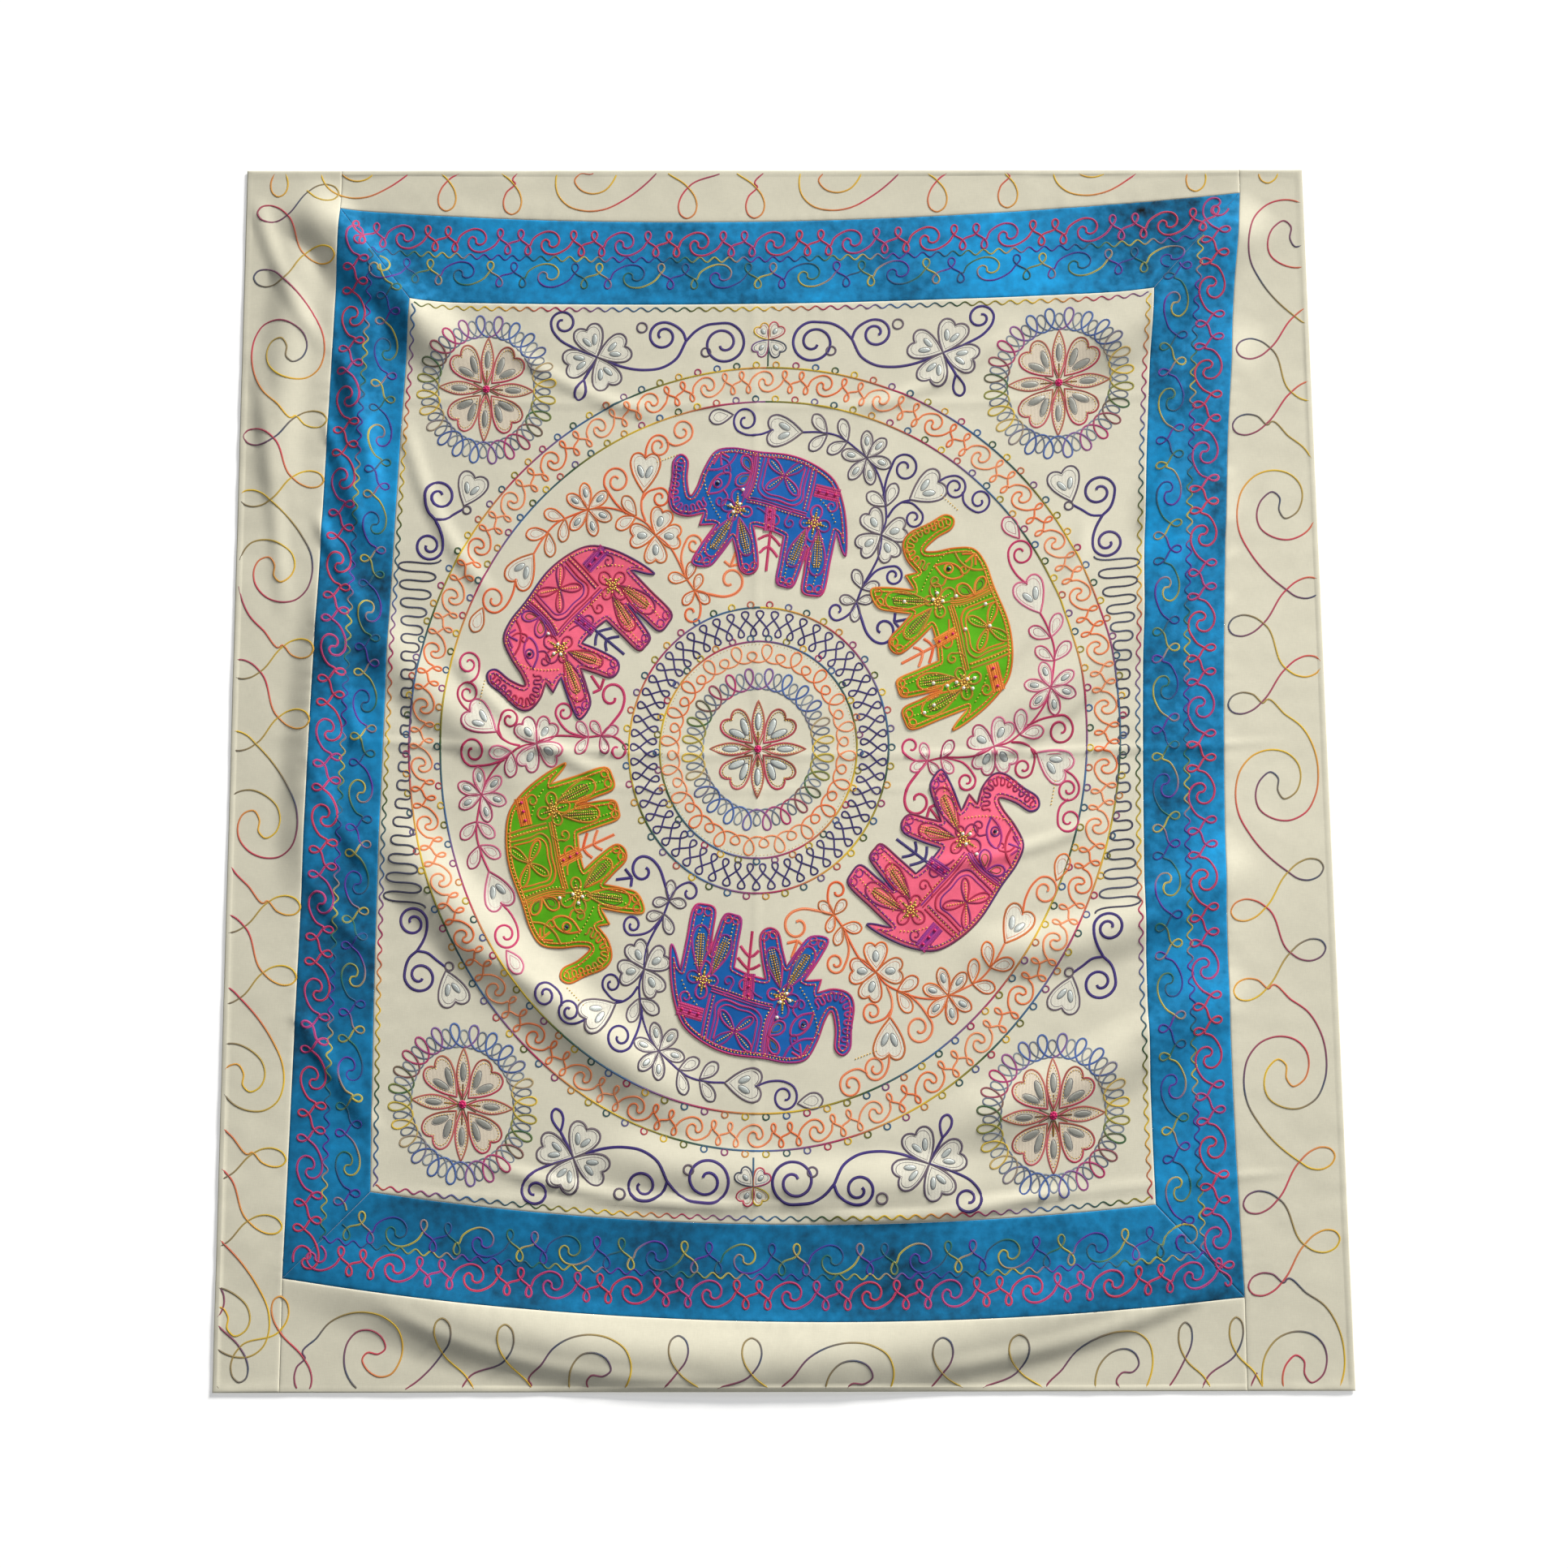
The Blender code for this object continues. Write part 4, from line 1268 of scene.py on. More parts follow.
# A hook and four small loops, up and down in turn. x runs along the row and y to its left.
HOOK = (
    (-46, -7), (-38, 7), (-22, 19), (-4, 24), (11, 20), (19, 9), (16, -4), (6, -9), (-2, -5), (-3, 3),
    (-10, 7), (-18, 1), (-18, -11), (-9, -21), (8, -24), (26, -18), (40, -8),
)  # fmt: skip
GREAT_HOOK = (
    (-48, -5), (-39, 6), (-31, 15), (-20, 21), (-5, 24), (8, 22.5), (17.5, 17), (21, 8), (18.5, -2),
    (12.5, -9), (4.5, -11), (-4, -8), (-7.5, -2.5), (-4, 1.5), (3.5, 1.5), (8.5, 5), (6, 11), (-0.5, 14),
    (-10, 13), (-17, 7), (-20, -2), (-18, -12), (-11, -19), (-0.5, -22), (12.5, -21), (27, -14), (39, -5),
)  # fmt: skip
Loop = namedtuple("Loop", "x way")
LOOPS = (Loop(50, 1), Loop(68, -1), Loop(95, 1), Loop(112, -1))
LOOP = ((-0.5, 6), (4.6, 12.5), (6, 18.5), (4, 24), (0, 26), (-4, 24), (-6, 18.5), (-4.6, 12.5), (0.7, 5.5))
HOOK_REPEAT = 160.0


def hook_row(path, hooks, high, hook=HOOK):
    """A row along a path: hooks at those distances, with the loops between them stretched to fit."""
    knots = []
    for number in range(len(hooks) - 1):
        unit = list(hook)
        for loop in LOOPS:
            unit.extend((loop.x + x, y * loop.way) for x, y in LOOP)
        knots.extend((number + x / HOOK_REPEAT, y * high) for x, y in unit)
    knots = np.array(knots)
    hooks = [2 * hooks[0] - hooks[1], *hooks]
    knots[:, 0] = np.interp(knots[:, 0], np.arange(-1, len(hooks) - 1), hooks)
    line = smooth(knots, step=4.0)
    return on_path(path, line[:, 0], line[:, 1])


RING_HOOKS = 38


def great_ring():
    """The wide ring round the elephants: a row of orange hooks between two rings of circles."""
    motif = Motif()
    middle = (-8, 3)
    ring_of_circles(motif, middle, 620, 108)
    ring_of_circles(motif, middle, 682, 118)
    ring = round_line(middle, 657, TALL)
    motif.line(hook_row(ring, np.linspace(0, length_of(ring), RING_HOOKS + 1), 0.86), "peach", 2.9)
    return motif


def vine():
    """The flowering vine between two elephants, drawn upward from the middle of the ring."""
    motif = Motif()

    def stem(width, *stops):
        motif.line(smooth(stops), "stem", width)

    def tendril(width, centre, turns, *stops, left=0.2):
        motif.line(curl(stops, centre, turns, left), "stem", width)

    def leaves(base, *tips, breadth=1.0):
        for tip in tips:
            outlined(motif, shape_between(PETAL, base, tip, breadth), "outline", 3.0, "outline", 0.6)

    stem(3.2, (22, 313), (18, 345), (19, 375), (17, 405), (10, 425), (2, 440))
    stem(3.0, (2, 440), (-3, 465), (-12, 480), (-22, 492), (-32, 505), (-50, 522), (-70, 535), (-93, 543))
    stem(3.0, (-93, 543), (-120, 548), (-160, 551), (-200, 538), (-225, 524))
    # The foot: two sweeps that curl, a small star, five leaves and a spiral.
    tendril(4.0, (91, 294), 0.95, (22, 313), (45, 292), (72, 273), (92, 270), left=0.25)
    for ray in ((97, 331), (127, 336), (122, 311)):
        motif.line([(103, 317), mix_points((103, 317), ray, 0.5), ray], "stem", 4.2)
    tendril(3.4, (-3, 281), -0.95, (22, 313), (21, 290), (12, 273), left=0.25)
    leaves((22, 313), (-9, 303), (46, 333), (36, 281))
    leaves((19, 338), (-11, 360), (44, 360))
    tendril(3.4, (60, 386), -1.4, (19, 350), (28, 380), (47, 398))
    # The four-heart flower.
    for turn in (152, 42, -33, -118):
        tip = turned((50, 0), turn)[0] + (2, 438)
        padded_petal(motif, HEART, (2, 438), tip, 1.05, "outline", 3.2, 0.76, (0.34, 0.72, 12))
    # Above the flower: a pair of leaves and a spiral to the left, a heart and spirals to the right.
    leaves((-15, 487), (-20, 530), (-59, 488))
    tendril(3.4, (-19, 562), -1.5, (-30, 500), (-40, 530), (-43, 553))
    stem(3.4, (-3, 470), (0, 492), (8, 507), (20, 518))
    vee_heart(motif, (18, 518), (56, 578), 1.0, "outline", 3.4, 0.80, 11)
    motif.bead(spaced(points_of([(68, 553), (108, 545)]), 5), 1.5)
    tendril(3.2, (42, 493), -1.35, (8, 507), (25, 514), (43, 511))
    tendril(3.2, (84, 577), -1.5, (50, 570), (61, 586), (80, 597))
    tendril(3.2, (137, 578), 1.4, (101, 577), (111, 563), (133, 557))
    # The six-petal flower and the leaves beyond it.
    for turn in (120, 72, 12, -48, -102, -162):
        tip = turned((49, 0), turn)[0] + (-93, 543)
        padded_petal(motif, PETAL, (-93, 543), tip, 0.85, "outline", 3.0, 0.72, (0.46, 0.80, 9))
    leaves((-141, 550), (-172, 580), (-165, 516), breadth=0.95)
    leaves((-182, 543), (-223, 561), (-198, 503), breadth=0.95)
    # The last heart, its spiral and the end leaf.
    vee_heart(motif, (-226, 524), (-288, 493), 1.0, "outline", 3.4, 0.80, 11)
    tendril(3.2, (-334, 487), -1.45, (-278, 500), (-298, 478), (-326, 464))
    leaves((-361, 484), (-398, 455), breadth=1.1)
    return motif


# Each vine: its turn round the ring, and the yarns of its stem and of its petals.
Vine = namedtuple("Vine", "turn stem outline")
VINES = (
    Vine(30, "orange", "apricot"),
    Vine(90, "rose", "blush"),
    Vine(150, "violet", "dusk"),
    Vine(210, "orange", "apricot"),
    Vine(270, "rose", "blush"),
    Vine(330, "violet", "dusk"),
)


def on_ring(turn, shift=(0, 0)):
    """A change that sets a motif on the ring of elephants, its own up pointing outward."""

    def change(points):
        return turned(points_of(points) + shift, turn) * (1, TALL)

    return change


# The elephants' stitching: shapes in the elephant's own frame.
TRUNK = ((-165, 112), (-172, 80), (-174, 48), (-162, 27), (-136, 26), (-112, 40))
EYE = ((-109, 52), (-100, 75), (-85, 88), (-66, 89), (-68, 73), (-82, 58), (-109, 52))
FOREHEAD = ((-112, 96), (-88, 97), (-65, 109), (-51, 130))
SADDLE = ((2, 122), (-6, 88), (-9, 58), (-2, 50), (30, 40), (64, 32), (74, 38), (78, 62), (88, 99))
SADDLE_MIDDLE = (40, 84)
# Small curls on the neck, the belly, the haunch and the legs: a stem, the curl's middle and its turns.
CURLS = (
    (((-12, 28), (0, 22), (14, 12)), (22, 4), -1.1),
    (((62, 22), (52, 18), (46, 8)), (52, 0), 1.1),
    (((132, 62), (142, 48), (142, 34)), (133, 28), -1.1),
    (((-84, 118), (-72, 112), (-66, 100)), (-73, 96), -1.0),
    (((-78, 60), (-70, 48), (-74, 38)), (-84, 40), -1.0),
)
Band = namedtuple("Band", "points width")
BANDS = (
    Band(((-16, 127), (-19, 97), (-28, 62), (-37, 46)), 12),
    Band(((-32, 43), (2, 36), (42, 24), (84, 12)), 9),
    Band(((99, 98), (92, 62), (82, 22)), 8),
)
SHOULDER = (-50, 25)
SHOULDER_LOOPS = ((-50, 62), (-82, 36), (-66, 6), (-22, 18))
SHOULDER_DROPS = (((-58, 12), (-106, -58)), ((-46, 10), (-28, -58)))
RUMP = (100, -2)
RUMP_LOOPS = ((106, 30), (72, 0), (130, -10), (94, -34))
RUMP_DROPS = (((84, -12), (54, -78)), ((108, -14), (104, -95)))
# Lines of gold sequins along the back, the head, the straps and the belly.
GLINT_LINES = (
    ((-100, 122), (-60, 131), (-10, 124), (50, 117), (96, 99), (132, 72)),
    ((-118, 88), (-112, 60), (-100, 34), (-84, 10)),
    ((-7, 122), (-11, 92), (-19, 60), (-27, 46)),
    ((-24, 38), (4, 31), (42, 19), (80, 8)),
    ((96, 94), (89, 62), (80, 26)),
    ((112, 40), (130, 20), (140, 0)),
    ((-66, -10), (-84, -30), (-112, -52)),
    ((60, -40), (50, -70), (44, -96)),
    ((116, -30), (112, -70), (100, -110)),
)
TOES = ((-124, -63), (-108, -69), (-32, -80), (-16, -77), (38, -104), (54, -106), (92, -118), (110, -120))


def banded(motif, start, end, width):
    """A short filled band with a row of small circles on it."""
    start, end = points_of(start)[0], points_of(end)[0]
    length = math.hypot(*(end - start))
    for row in np.linspace(-0.5, 0.5, 5):
        edge = [(0, row * width), (length / 2, row * width), (length, row * width)]
        motif.line(turned(smooth(edge), heading(start, end)) + start, "fill", width / 3.2)
    for share in (0.18, 0.5, 0.82):
        motif.bead(start + (end - start) * share, width * 0.22, "knot")


RIBBON_PITCH = 3.4  # from one thread of a ribbon to the next, at most


def ribbon(motif, points, width):
    """A wide filled band along a smooth line, with an edging thread on each side."""
    path = smooth(points)
    along = np.linspace(0, length_of(path), len(path))
    rows = max(2, round(width / RIBBON_PITCH))
    for row in np.linspace(-0.5, 0.5, rows):
        beside = np.full(along.shape, row * width)
        yarn = "detail" if abs(row) == 0.5 else "fill"
        motif.line(on_path(path, along, beside), yarn, width / rows * 0.8)


KEPT_SHARE = 0.86  # where a line inside the outline comes nearer to it than this share, it is left out
SHORTEST_RUN = 5  # points


def inner_lines(distance):
    """The stretches of a line kept at one distance inside the elephant's outline, in millimetres."""
    outline = smooth_outline()
    line = inset(outline, distance)
    gaps = [lengths_of(closed(outline) - spot).min() for spot in line]
    runs, run = [], []
    for spot, gap in zip(line, gaps):
        if gap > KEPT_SHARE * distance:
            run.append(spot)
        elif run:
            runs.append(run)
            run = []
    runs.append(run)
    return [smooth(np.array(run)) for run in runs if len(run) >= SHORTEST_RUN]


def elephant_stitching():
    """All that is stitched on an elephant: yarns are named outline, detail, fill and twig."""
    motif = Motif()
    trunk = smooth(TRUNK)
    motif.line(wave(trunk, 10, 7.5, -1.9, steps=16), "detail", 3.0)
    motif.line(smooth(EYE), "fill", 3.2)
    motif.line(round_line((-90, 72), 8, step=3.0), "fill", 2.8)
    motif.bead((-90, 72), 4.5, "pupil")
    motif.line(smooth(FOREHEAD), "detail", 3.4)
    for ray in ((-99, 106), (-83, 104), (-68, 118), (-66, 129)):
        motif.line([(-86, 128), mix_points((-86, 128), ray, 0.5), ray], "fill", 3.2)
    for tip, breadth in (((-41, 121), 1.0), ((-54, 70), 1.1)):
        petal = shape_between(PETAL, (-22, 90), tip, breadth)
        outlined(motif, petal, "fill", 3.0, "bronze", share=0.55, fill=None)
    for band in BANDS:
        ribbon(motif, band.points, band.width)
    motif.line(smooth(SADDLE), "detail", 3.2)
    motif.line(smooth([mix_points(SADDLE_MIDDLE, stop, 0.84) for stop in SADDLE]), "fill", 2.4)
    for stem, middle, turns in CURLS:
        motif.line(curl(stem, middle, turns), "detail", 2.8)
    for tip in ((9, 117), (80, 106), (66, 49), (5, 61)):
        outlined(motif, shape_between(PETAL, SADDLE_MIDDLE, tip, 0.66), "detail", 3.0, fill=None)
        row = [mix_points(SADDLE_MIDDLE, tip, 0.12), mix_points(SADDLE_MIDDLE, tip, 0.8)]
        motif.bead(spaced(points_of(row), 4), 1.7)
    banded(motif, (100, 58), (148, 46), 17)
    banded(motif, (15, 30), (12, -14), 15)
    for middle, loops, drops in (
        (SHOULDER, SHOULDER_LOOPS, SHOULDER_DROPS),
        (RUMP, RUMP_LOOPS, RUMP_DROPS),
    ):
        for start, tip in drops:
            drop = shape_between(DROP, start, tip, 1.15)
            outlined(motif, drop, "detail", 3.2, "bronze", share=0.62, fill=None)
            vein = [start, mix_points(start, tip, 0.4), mix_points(start, tip, 0.8)]
            motif.line(smooth(vein), "bronze", 3.0)
            for beside in (-4.5, 0, 4.5):
                row = on_path(points_of([start, tip]), np.linspace(12, 66, 14), np.full(14, beside))
                motif.bead(row, 1.6)
        for tip in loops:
            outlined(motif, shape_between(PETAL, middle, tip, 1.25), "detail", 3.0, fill=None)
            motif.line([middle, mix_points(middle, tip, 0.3), mix_points(middle, tip, 0.6)], "bronze", 3.2)
            motif.bead(spaced(points_of([middle, mix_points(middle, tip, 0.75)]), 4), 1.7)
        around = np.arange(9) * 2 * math.pi / 9
        motif.bead(on_circle(around) * 6 + middle, 2.2)
        motif.bead(middle, 2.8)
        motif.bead(on_circle(1.3 * around) * 12 + middle, 2.4)
    motif.line([(90, -44), (88, -55), (84, -68)], "fill", 3.2)
    for spot in TOES:
        motif.line(round_line(spot, 7, step=3.0), "fill", 2.4)
    for line in GLINT_LINES:
        motif.bead(spaced(smooth(line), 6), 1.7)
    for run in inner_lines(7.5):
        motif.line(run, "fill", 2.6)
        motif.bead(spaced(run, 9), 1.6)
    return motif


SEQUINS = (
    (-46, 34), (-58, 20), (-64, 32), (-90, 73), (-40, 60), (98, 6), (108, -8), (92, -14), (104, 18),
    (70, -52), (104, -70), (88, -32), (-84, -28), (40, 88), (20, 46), (2, 100), (118, 6), (106, -92),
)  # fmt: skip
FEW_SEQUINS = 5  # on all but one of the elephants
EDGE_THREAD_INSET = 0.8


def sequins(spots):
    """Sequins, painted near white as a painted glint."""
    motif = Motif()
    motif.bead(spots, 3.9, "sequin")
    return motif


def twig():
    """The small twig under an elephant's belly."""
    motif = Motif()
    bars = (
        ((15, -15), (12, -45), (8, -86)),
        ((14, -21), (4, -23), (-8, -29)),
        ((15, -21), (24, -29), (35, -41)),
        ((12, -42), (4, -45), (-5, -53)),
        ((12, -42), (20, -49), (30, -61)),
    )
    for bar in bars:
        motif.line(smooth(bar), "twig", 4.2)
    return motif


# The yarns on each colour of elephant.
ELEPHANT_YARNS = {
    "patch_blue": {"outline": "magenta", "detail": "wine", "fill": "magenta", "twig": "rose"},
    "patch_pink": {"outline": "plum", "detail": "crimson", "fill": "wine", "twig": "indigo"},
    "patch_green": {"outline": "tangerine", "detail": "moss", "fill": "tangerine", "twig": "orange"},
}


def end_motif():
    """The left half's motif at the top and bottom of the centre: a flower, its spirals and circles."""
    motif = Motif()
    flower = (-345, 785)
    for turn in (113, 23, -163, -65):
        vee_heart(motif, flower, turned((68, 0), turn)[0] + flower, 1.05, "dusk", 3.4, 0.80, 10)
    stem = (flower, (-391, 802), (-425, 822), (-439, 842))
    motif.line(curl(stem, (-416, 853), -1.3, 0.25), "violet", 3.8)
    motif.line(smooth([flower, (-358, 760), (-370, 738)]), "violet", 4.0)
    motif.line(shape_between(PETAL, (-370, 738), (-380, 696), 0.95), "violet", 3.6)
    stem = ((-322, 776), (-290, 765), (-250, 760), (-215, 765), (-188, 782), (-168, 820))
    motif.line(smooth(stem), "violet", 4.0)
    stem = ((-168, 820), (-175, 838), (-190, 851), (-213, 858))
    motif.line(curl(stem, (-214, 830), 1.35, 0.25), "violet", 4.0)
    stem = ((-168, 820), (-150, 840), (-130, 852), (-107, 856))
    motif.line(curl(stem, (-94, 815), -1.7), "violet", 4.0)
    motif.line(round_line((-257, 847), 10, step=3.0), "dusk", 3.0)
    motif.line(round_line((-128, 797), 9, step=3.0), "dusk", 3.0)
    return motif


def small_blossom():
    """The small four-petal flower on the middle line of the top and bottom."""
    motif = Motif()
    middle = (-5, 822)
    petals = (((-24, 851), "garden"), ((17, 852), "rosewood"), ((-29, 794), "garden"), ((21, 793), "slate"))
    for tip, yarn in petals:
        padded_petal(motif, HEART, middle, tip, 1.05, yarn, 2.6, 0.72, (0.40, 0.74, 8))
    motif.line(smooth([(-5, 845), middle, (-5, 790), (-5, 768)]), "garden", 2.4)
    return motif


def side_motif():
    """The heart, circle and two spirals at the end of a side's winding line."""
    motif = Motif()
    vee_heart(motif, (583, 470), (560, 536), 1.05, "dusk", 3.0, 0.78, 10)
    motif.line(round_line((577, 462), 8, step=3.0), "dusk", 3.0)
    motif.line(smooth([(585, 463), (602, 452), (620, 440), (640, 438)]), "violet", 3.6)
    motif.line(curl([(640, 438), (654, 452), (662, 476)], (633, 486), 1.45), "violet", 4.0)
    motif.line(curl([(640, 438), (628, 415), (622, 390)], (650, 384), 1.55), "violet", 4.0)
    return motif


WINDINGS = 19
WINDING_STEPS = 26


def winding_side():
    """The line that winds between the great ring and the side seam, widest in its middle."""
    turn = np.linspace(0, 2 * math.pi * WINDINGS, WINDINGS * WINDING_STEPS + 1)
    share = turn / turn[-1]
    v = mix(358, -335, share)
    bulge = 1 - ((v - 10) / 350) ** 2
    left, right = 624 + 46 * bulge, 712 - 22 * bulge
    u = (left + right) / 2 - (right - left) / 2 * np.cos(turn)
    return np.stack([u, v - 3.6 * np.sin(2 * turn)], 1)


# The four sides of the frame. Each is followed clockwise but for the bottom, so that a row's hooks
# all roll the same way. The left of the line is outward, and inward at the bottom.
Side = namedtuple("Side", "bows end")
SIDES = {
    "top": Side(TOP_BOWS, True),
    "right": Side(RIGHT_BOWS, False),
    "bottom": Side(BOTTOM_BOWS, True),
    "left": Side(LEFT_BOWS, False),
}


SIDE_STOPS = 161


def side_line(name, out, past=1.0):
    """A line along a side in millimetres, and the distance from its start to the side's middle.

    out is 0 at the inner seam of the blue strip and 1 at the outer one, and past is how far beyond
    the strip's own length the line runs, as a share of it.
    """
    side = SIDES[name]
    share = np.linspace(-past, past, SIDE_STOPS)
    if side.end:
        half = mix(CENTRE_HALF_WIDTH, FRAME_HALF_WIDTH, out)
        inner, outer = CENTRE_HALF_LENGTH, FRAME_HALF_LENGTH
    else:
        half = mix(CENTRE_HALF_LENGTH, FRAME_HALF_LENGTH, out)
        inner, outer = CENTRE_HALF_WIDTH, FRAME_HALF_WIDTH
    away = mix(bowed(inner, side.bows.inner, share), bowed(outer, side.bows.outer, share), out)
    run = share * half
    line = {"top": (run, away), "right": (away, -run), "bottom": (run, -away), "left": (-away, run)}[name]
    return np.stack(line, 1) / MM, past * half / MM


# The rows of hooks: how far out each runs, its yarn, its repeat, where one of its hooks is from the
# side's middle, and how tall it is against the hook as drawn.
Row = namedtuple("Row", "side out yarn repeat hook high")
STRIP_ROWS = (
    Row("top", 0.73, "candy", 151, 3, 1.0),
    Row("right", 0.72, "candy", 167, -210, 1.0),
    Row("bottom", 0.73, "candy", 148, -89, 1.0),
    Row("left", 0.73, "candy", 170, -5, 1.0),
    Row("top", 0.34, "jewel", 174, -103, 1.0),
    Row("right", 0.28, "jewel", 190, -278, 0.95),
    Row("bottom", 0.36, "jewel", 163, -191, 1.1),
    Row("left", 0.27, "jewel", 180, 62, 0.95),
)
YARN_WIDTHS = {"candy": 3.0, "jewel": 2.6}
ROW_END = 6.0  # how near a strip's mitre its rows come


def up_to_mitres(name, line):
    """The part of a strip's row that lies between its mitred ends."""
    out = (np.abs(line) * MM - (CENTRE_HALF_WIDTH, CENTRE_HALF_LENGTH)) / (SIDE_BAND, END_BAND)
    short = (out[:, 1] - out[:, 0] if SIDES[name].end else out[:, 0] - out[:, 1]) * SIDE_BAND / MM
    kept = np.flatnonzero(short > ROW_END)
    return line[kept[0] : kept[-1] + 1]


WAVE_LENGTH = 29


def wavy_lines(motif, out, height, yarn, width):
    """A fine wavy line along each side, as far out as side_line says."""
    for side in SIDES:
        path, _ = side_line(side, out)
        motif.line(wave(path, round(length_of(path) / WAVE_LENGTH), height), yarn, width)


def blue_strip_rows():
    """The rows of hooks and the fine wavy line on the four blue strips."""
    motif = Motif()
    for row in STRIP_ROWS:
        path, middle = side_line(row.side, row.out, past=1.3)
        ends = math.ceil(middle / row.repeat)
        hooks = [middle + row.hook + number * row.repeat for number in range(-ends, ends + 1)]
        line = up_to_mitres(row.side, hook_row(path, hooks, row.high))
        motif.line(line, row.yarn, YARN_WIDTHS[row.yarn])
    wavy_lines(motif, 0.54, 5.0, "jewel", 2.4)
    return motif


def seam_waves():
    """The fine wavy line just inside the seam of the centre panel."""
    motif = Motif()
    wavy_lines(motif, -0.062, 3.8, "garden", 2.3)
    return motif


# The rows on the white border: how far beyond the blue strip's outer seam each runs, and the places
# of its hooks from the side's middle. The outermost ones are past the hem.
BorderRow = namedtuple("BorderRow", "side beyond hooks")
BORDER_ROWS = (
    BorderRow("top", 0.102, (-1370, -878, -382, 109, 602, 1090)),
    BorderRow("right", 0.100, (-1530, -976, -426, 124, 670, 1215, 1760)),
    BorderRow("bottom", 0.121, (-1150, -717, -300, 181, 678, 1010)),
    BorderRow("left", 0.094, (-1660, -1170, -707, -209, 308, 761, 1250)),
)
BORDER_HIGH = 3.3


def border_rows():
    """The large fine hooks and loops on the white border, cut off by the hem."""
    motif = Motif()
    for row in BORDER_ROWS:
        strip = END_BAND if SIDES[row.side].end else SIDE_BAND
        path, middle = side_line(row.side, 1 + row.beyond / strip, past=1.6)
        hooks = [middle + hook for hook in row.hooks]
        motif.line(hook_row(path, hooks, BORDER_HIGH, GREAT_HOOK), "sunset", 2.6)
    return motif


# The elephants' cloth.

PATCH_CELL = 6.0
PATCH_INSET = 2.5
PATCH_EDGE = 0.0002  # the turned-in edge's height over the cloth's face
ON_EDGE = 0.01  # how near the outline a point of the patch counts as on it
MERGE = 1e-4


def smooth_outline():
    """The elephant's smooth closed outline, with corners at its sharp stops, in millimetres."""
    stops = np.array(BODY_STOPS)
    ahead = np.roll(stops, -1, 0)
    corner = np.isin(np.arange(len(stops)), BODY_CORNERS)[:, None]
    slopes = (ahead - np.roll(stops, 1, 0)) / 2
    starts = np.where(corner, ahead - stops, slopes)
    ends = np.where(np.roll(corner, -1, 0), ahead - stops, np.roll(slopes, -1, 0))
    bits = []
    for step in range(LINE_STEPS):
        s = step / LINE_STEPS
        bits.append(
            (2 * s**3 - 3 * s**2 + 1) * stops
            + (s**3 - 2 * s**2 + s) * starts
            + (3 * s**2 - 2 * s**3) * ahead
            + (s**3 - s**2) * ends
        )
    return np.stack(bits, 1).reshape(-1, 2) / MM


def inset(outline, distance):
    """A closed outline moved inward by a distance."""
    tangent = np.roll(outline, -1, 0) - np.roll(outline, 1, 0)
    tangent /= lengths_of(tangent)[:, None]
    return outline + math.copysign(distance, anticlockwise(outline)) * leftward(tangent)


def inside(outline, points):
    """Which of the points lie inside a closed outline."""
    within = np.zeros(len(points), bool)
    for (ax, ay), (bx, by) in zip(outline, np.roll(outline, -1, 0)):
        if ay == by:
            continue
        crosses = (ay > points[:, 1]) != (by > points[:, 1])
        within ^= crosses & (points[:, 0] < ax + (points[:, 1] - ay) * (bx - ax) / (by - ay))
    return within


def elephant_place(elephant):
    return on_ring(elephant.turn, (-elephant.forward / MM, elephant.out / MM))


def patch_mesh(name, elephant):
    """An elephant's cloth: a thin sheet over the centre panel, turned in at its edge."""
    outline = smooth_outline()
    rim = inset(outline, PATCH_INSET)
    ways = (np.arange(low, high, PATCH_CELL) for low, high in zip(rim.min(0), rim.max(0)))
    grid = np.stack(np.meshgrid(*ways), -1).reshape(-1, 2)
    grid = grid[inside(inset(outline, PATCH_INSET + PATCH_CELL * 0.6), grid)]
    count = len(outline)
    flat = np.vstack([outline, rim, grid])
    ring = np.arange(count)
    edges = np.vstack([np.stack([ring + start, np.roll(ring, -1) + start], 1) for start in (0, count)])
    points, _, faces, *_ = delaunay_2d_cdt([Vector(p) for p in flat], edges.tolist(), [], 1, MERGE)
    points = np.array([tuple(p) for p in points])
    edge = np.hypot(*(points[:, None] - outline[None]).transpose(2, 0, 1)).min(1) < ON_EDGE
    x, y = lie(*(elephant_place(elephant)(points).T * MM))
    z = np.where(edge, cloth_top(x, y) + PATCH_EDGE, patch_top(x, y))
    return mesh_from(name, np.column_stack([x, y, z]), faces)


# The border strips' cloth, each cut as wide as its strip is on average.

BORDER_WIDTHS = {"border_top": 0.094, "border_bottom": 0.151, "border_left": 0.154, "border_right": 0.186}
SIDE_LENGTH = 2.372
HEM_STOPS = (0.013, 0.011, 0.009, 0.002, 0.0)  # distances from the outer edge at which the hem is drawn


def hemmed_shares(width, cell):
    """Even stops from -1 to 1 over a border's width, with close ones at both sides of its hem."""
    outer = 1 - 2 * np.array(HEM_STOPS) / width
    inner = -1 + 2 * np.array(EDGE_STOPS) / width
    even = np.linspace(inner[-1], outer[0], max(3, round(width / cell)))[1:-1]
    return np.concatenate([inner, even, outer])


# Settings.


def colour_setting(name, description, *screen):
    default = from_screen(*screen)
    return FloatVectorProperty(
        name=name, description=description, default=default, subtype="COLOR", size=4, min=0, max=1
    )


def angle_setting(name, description, degrees):
    return FloatProperty(name=name, description=description, default=math.radians(degrees), unit="ROTATION")


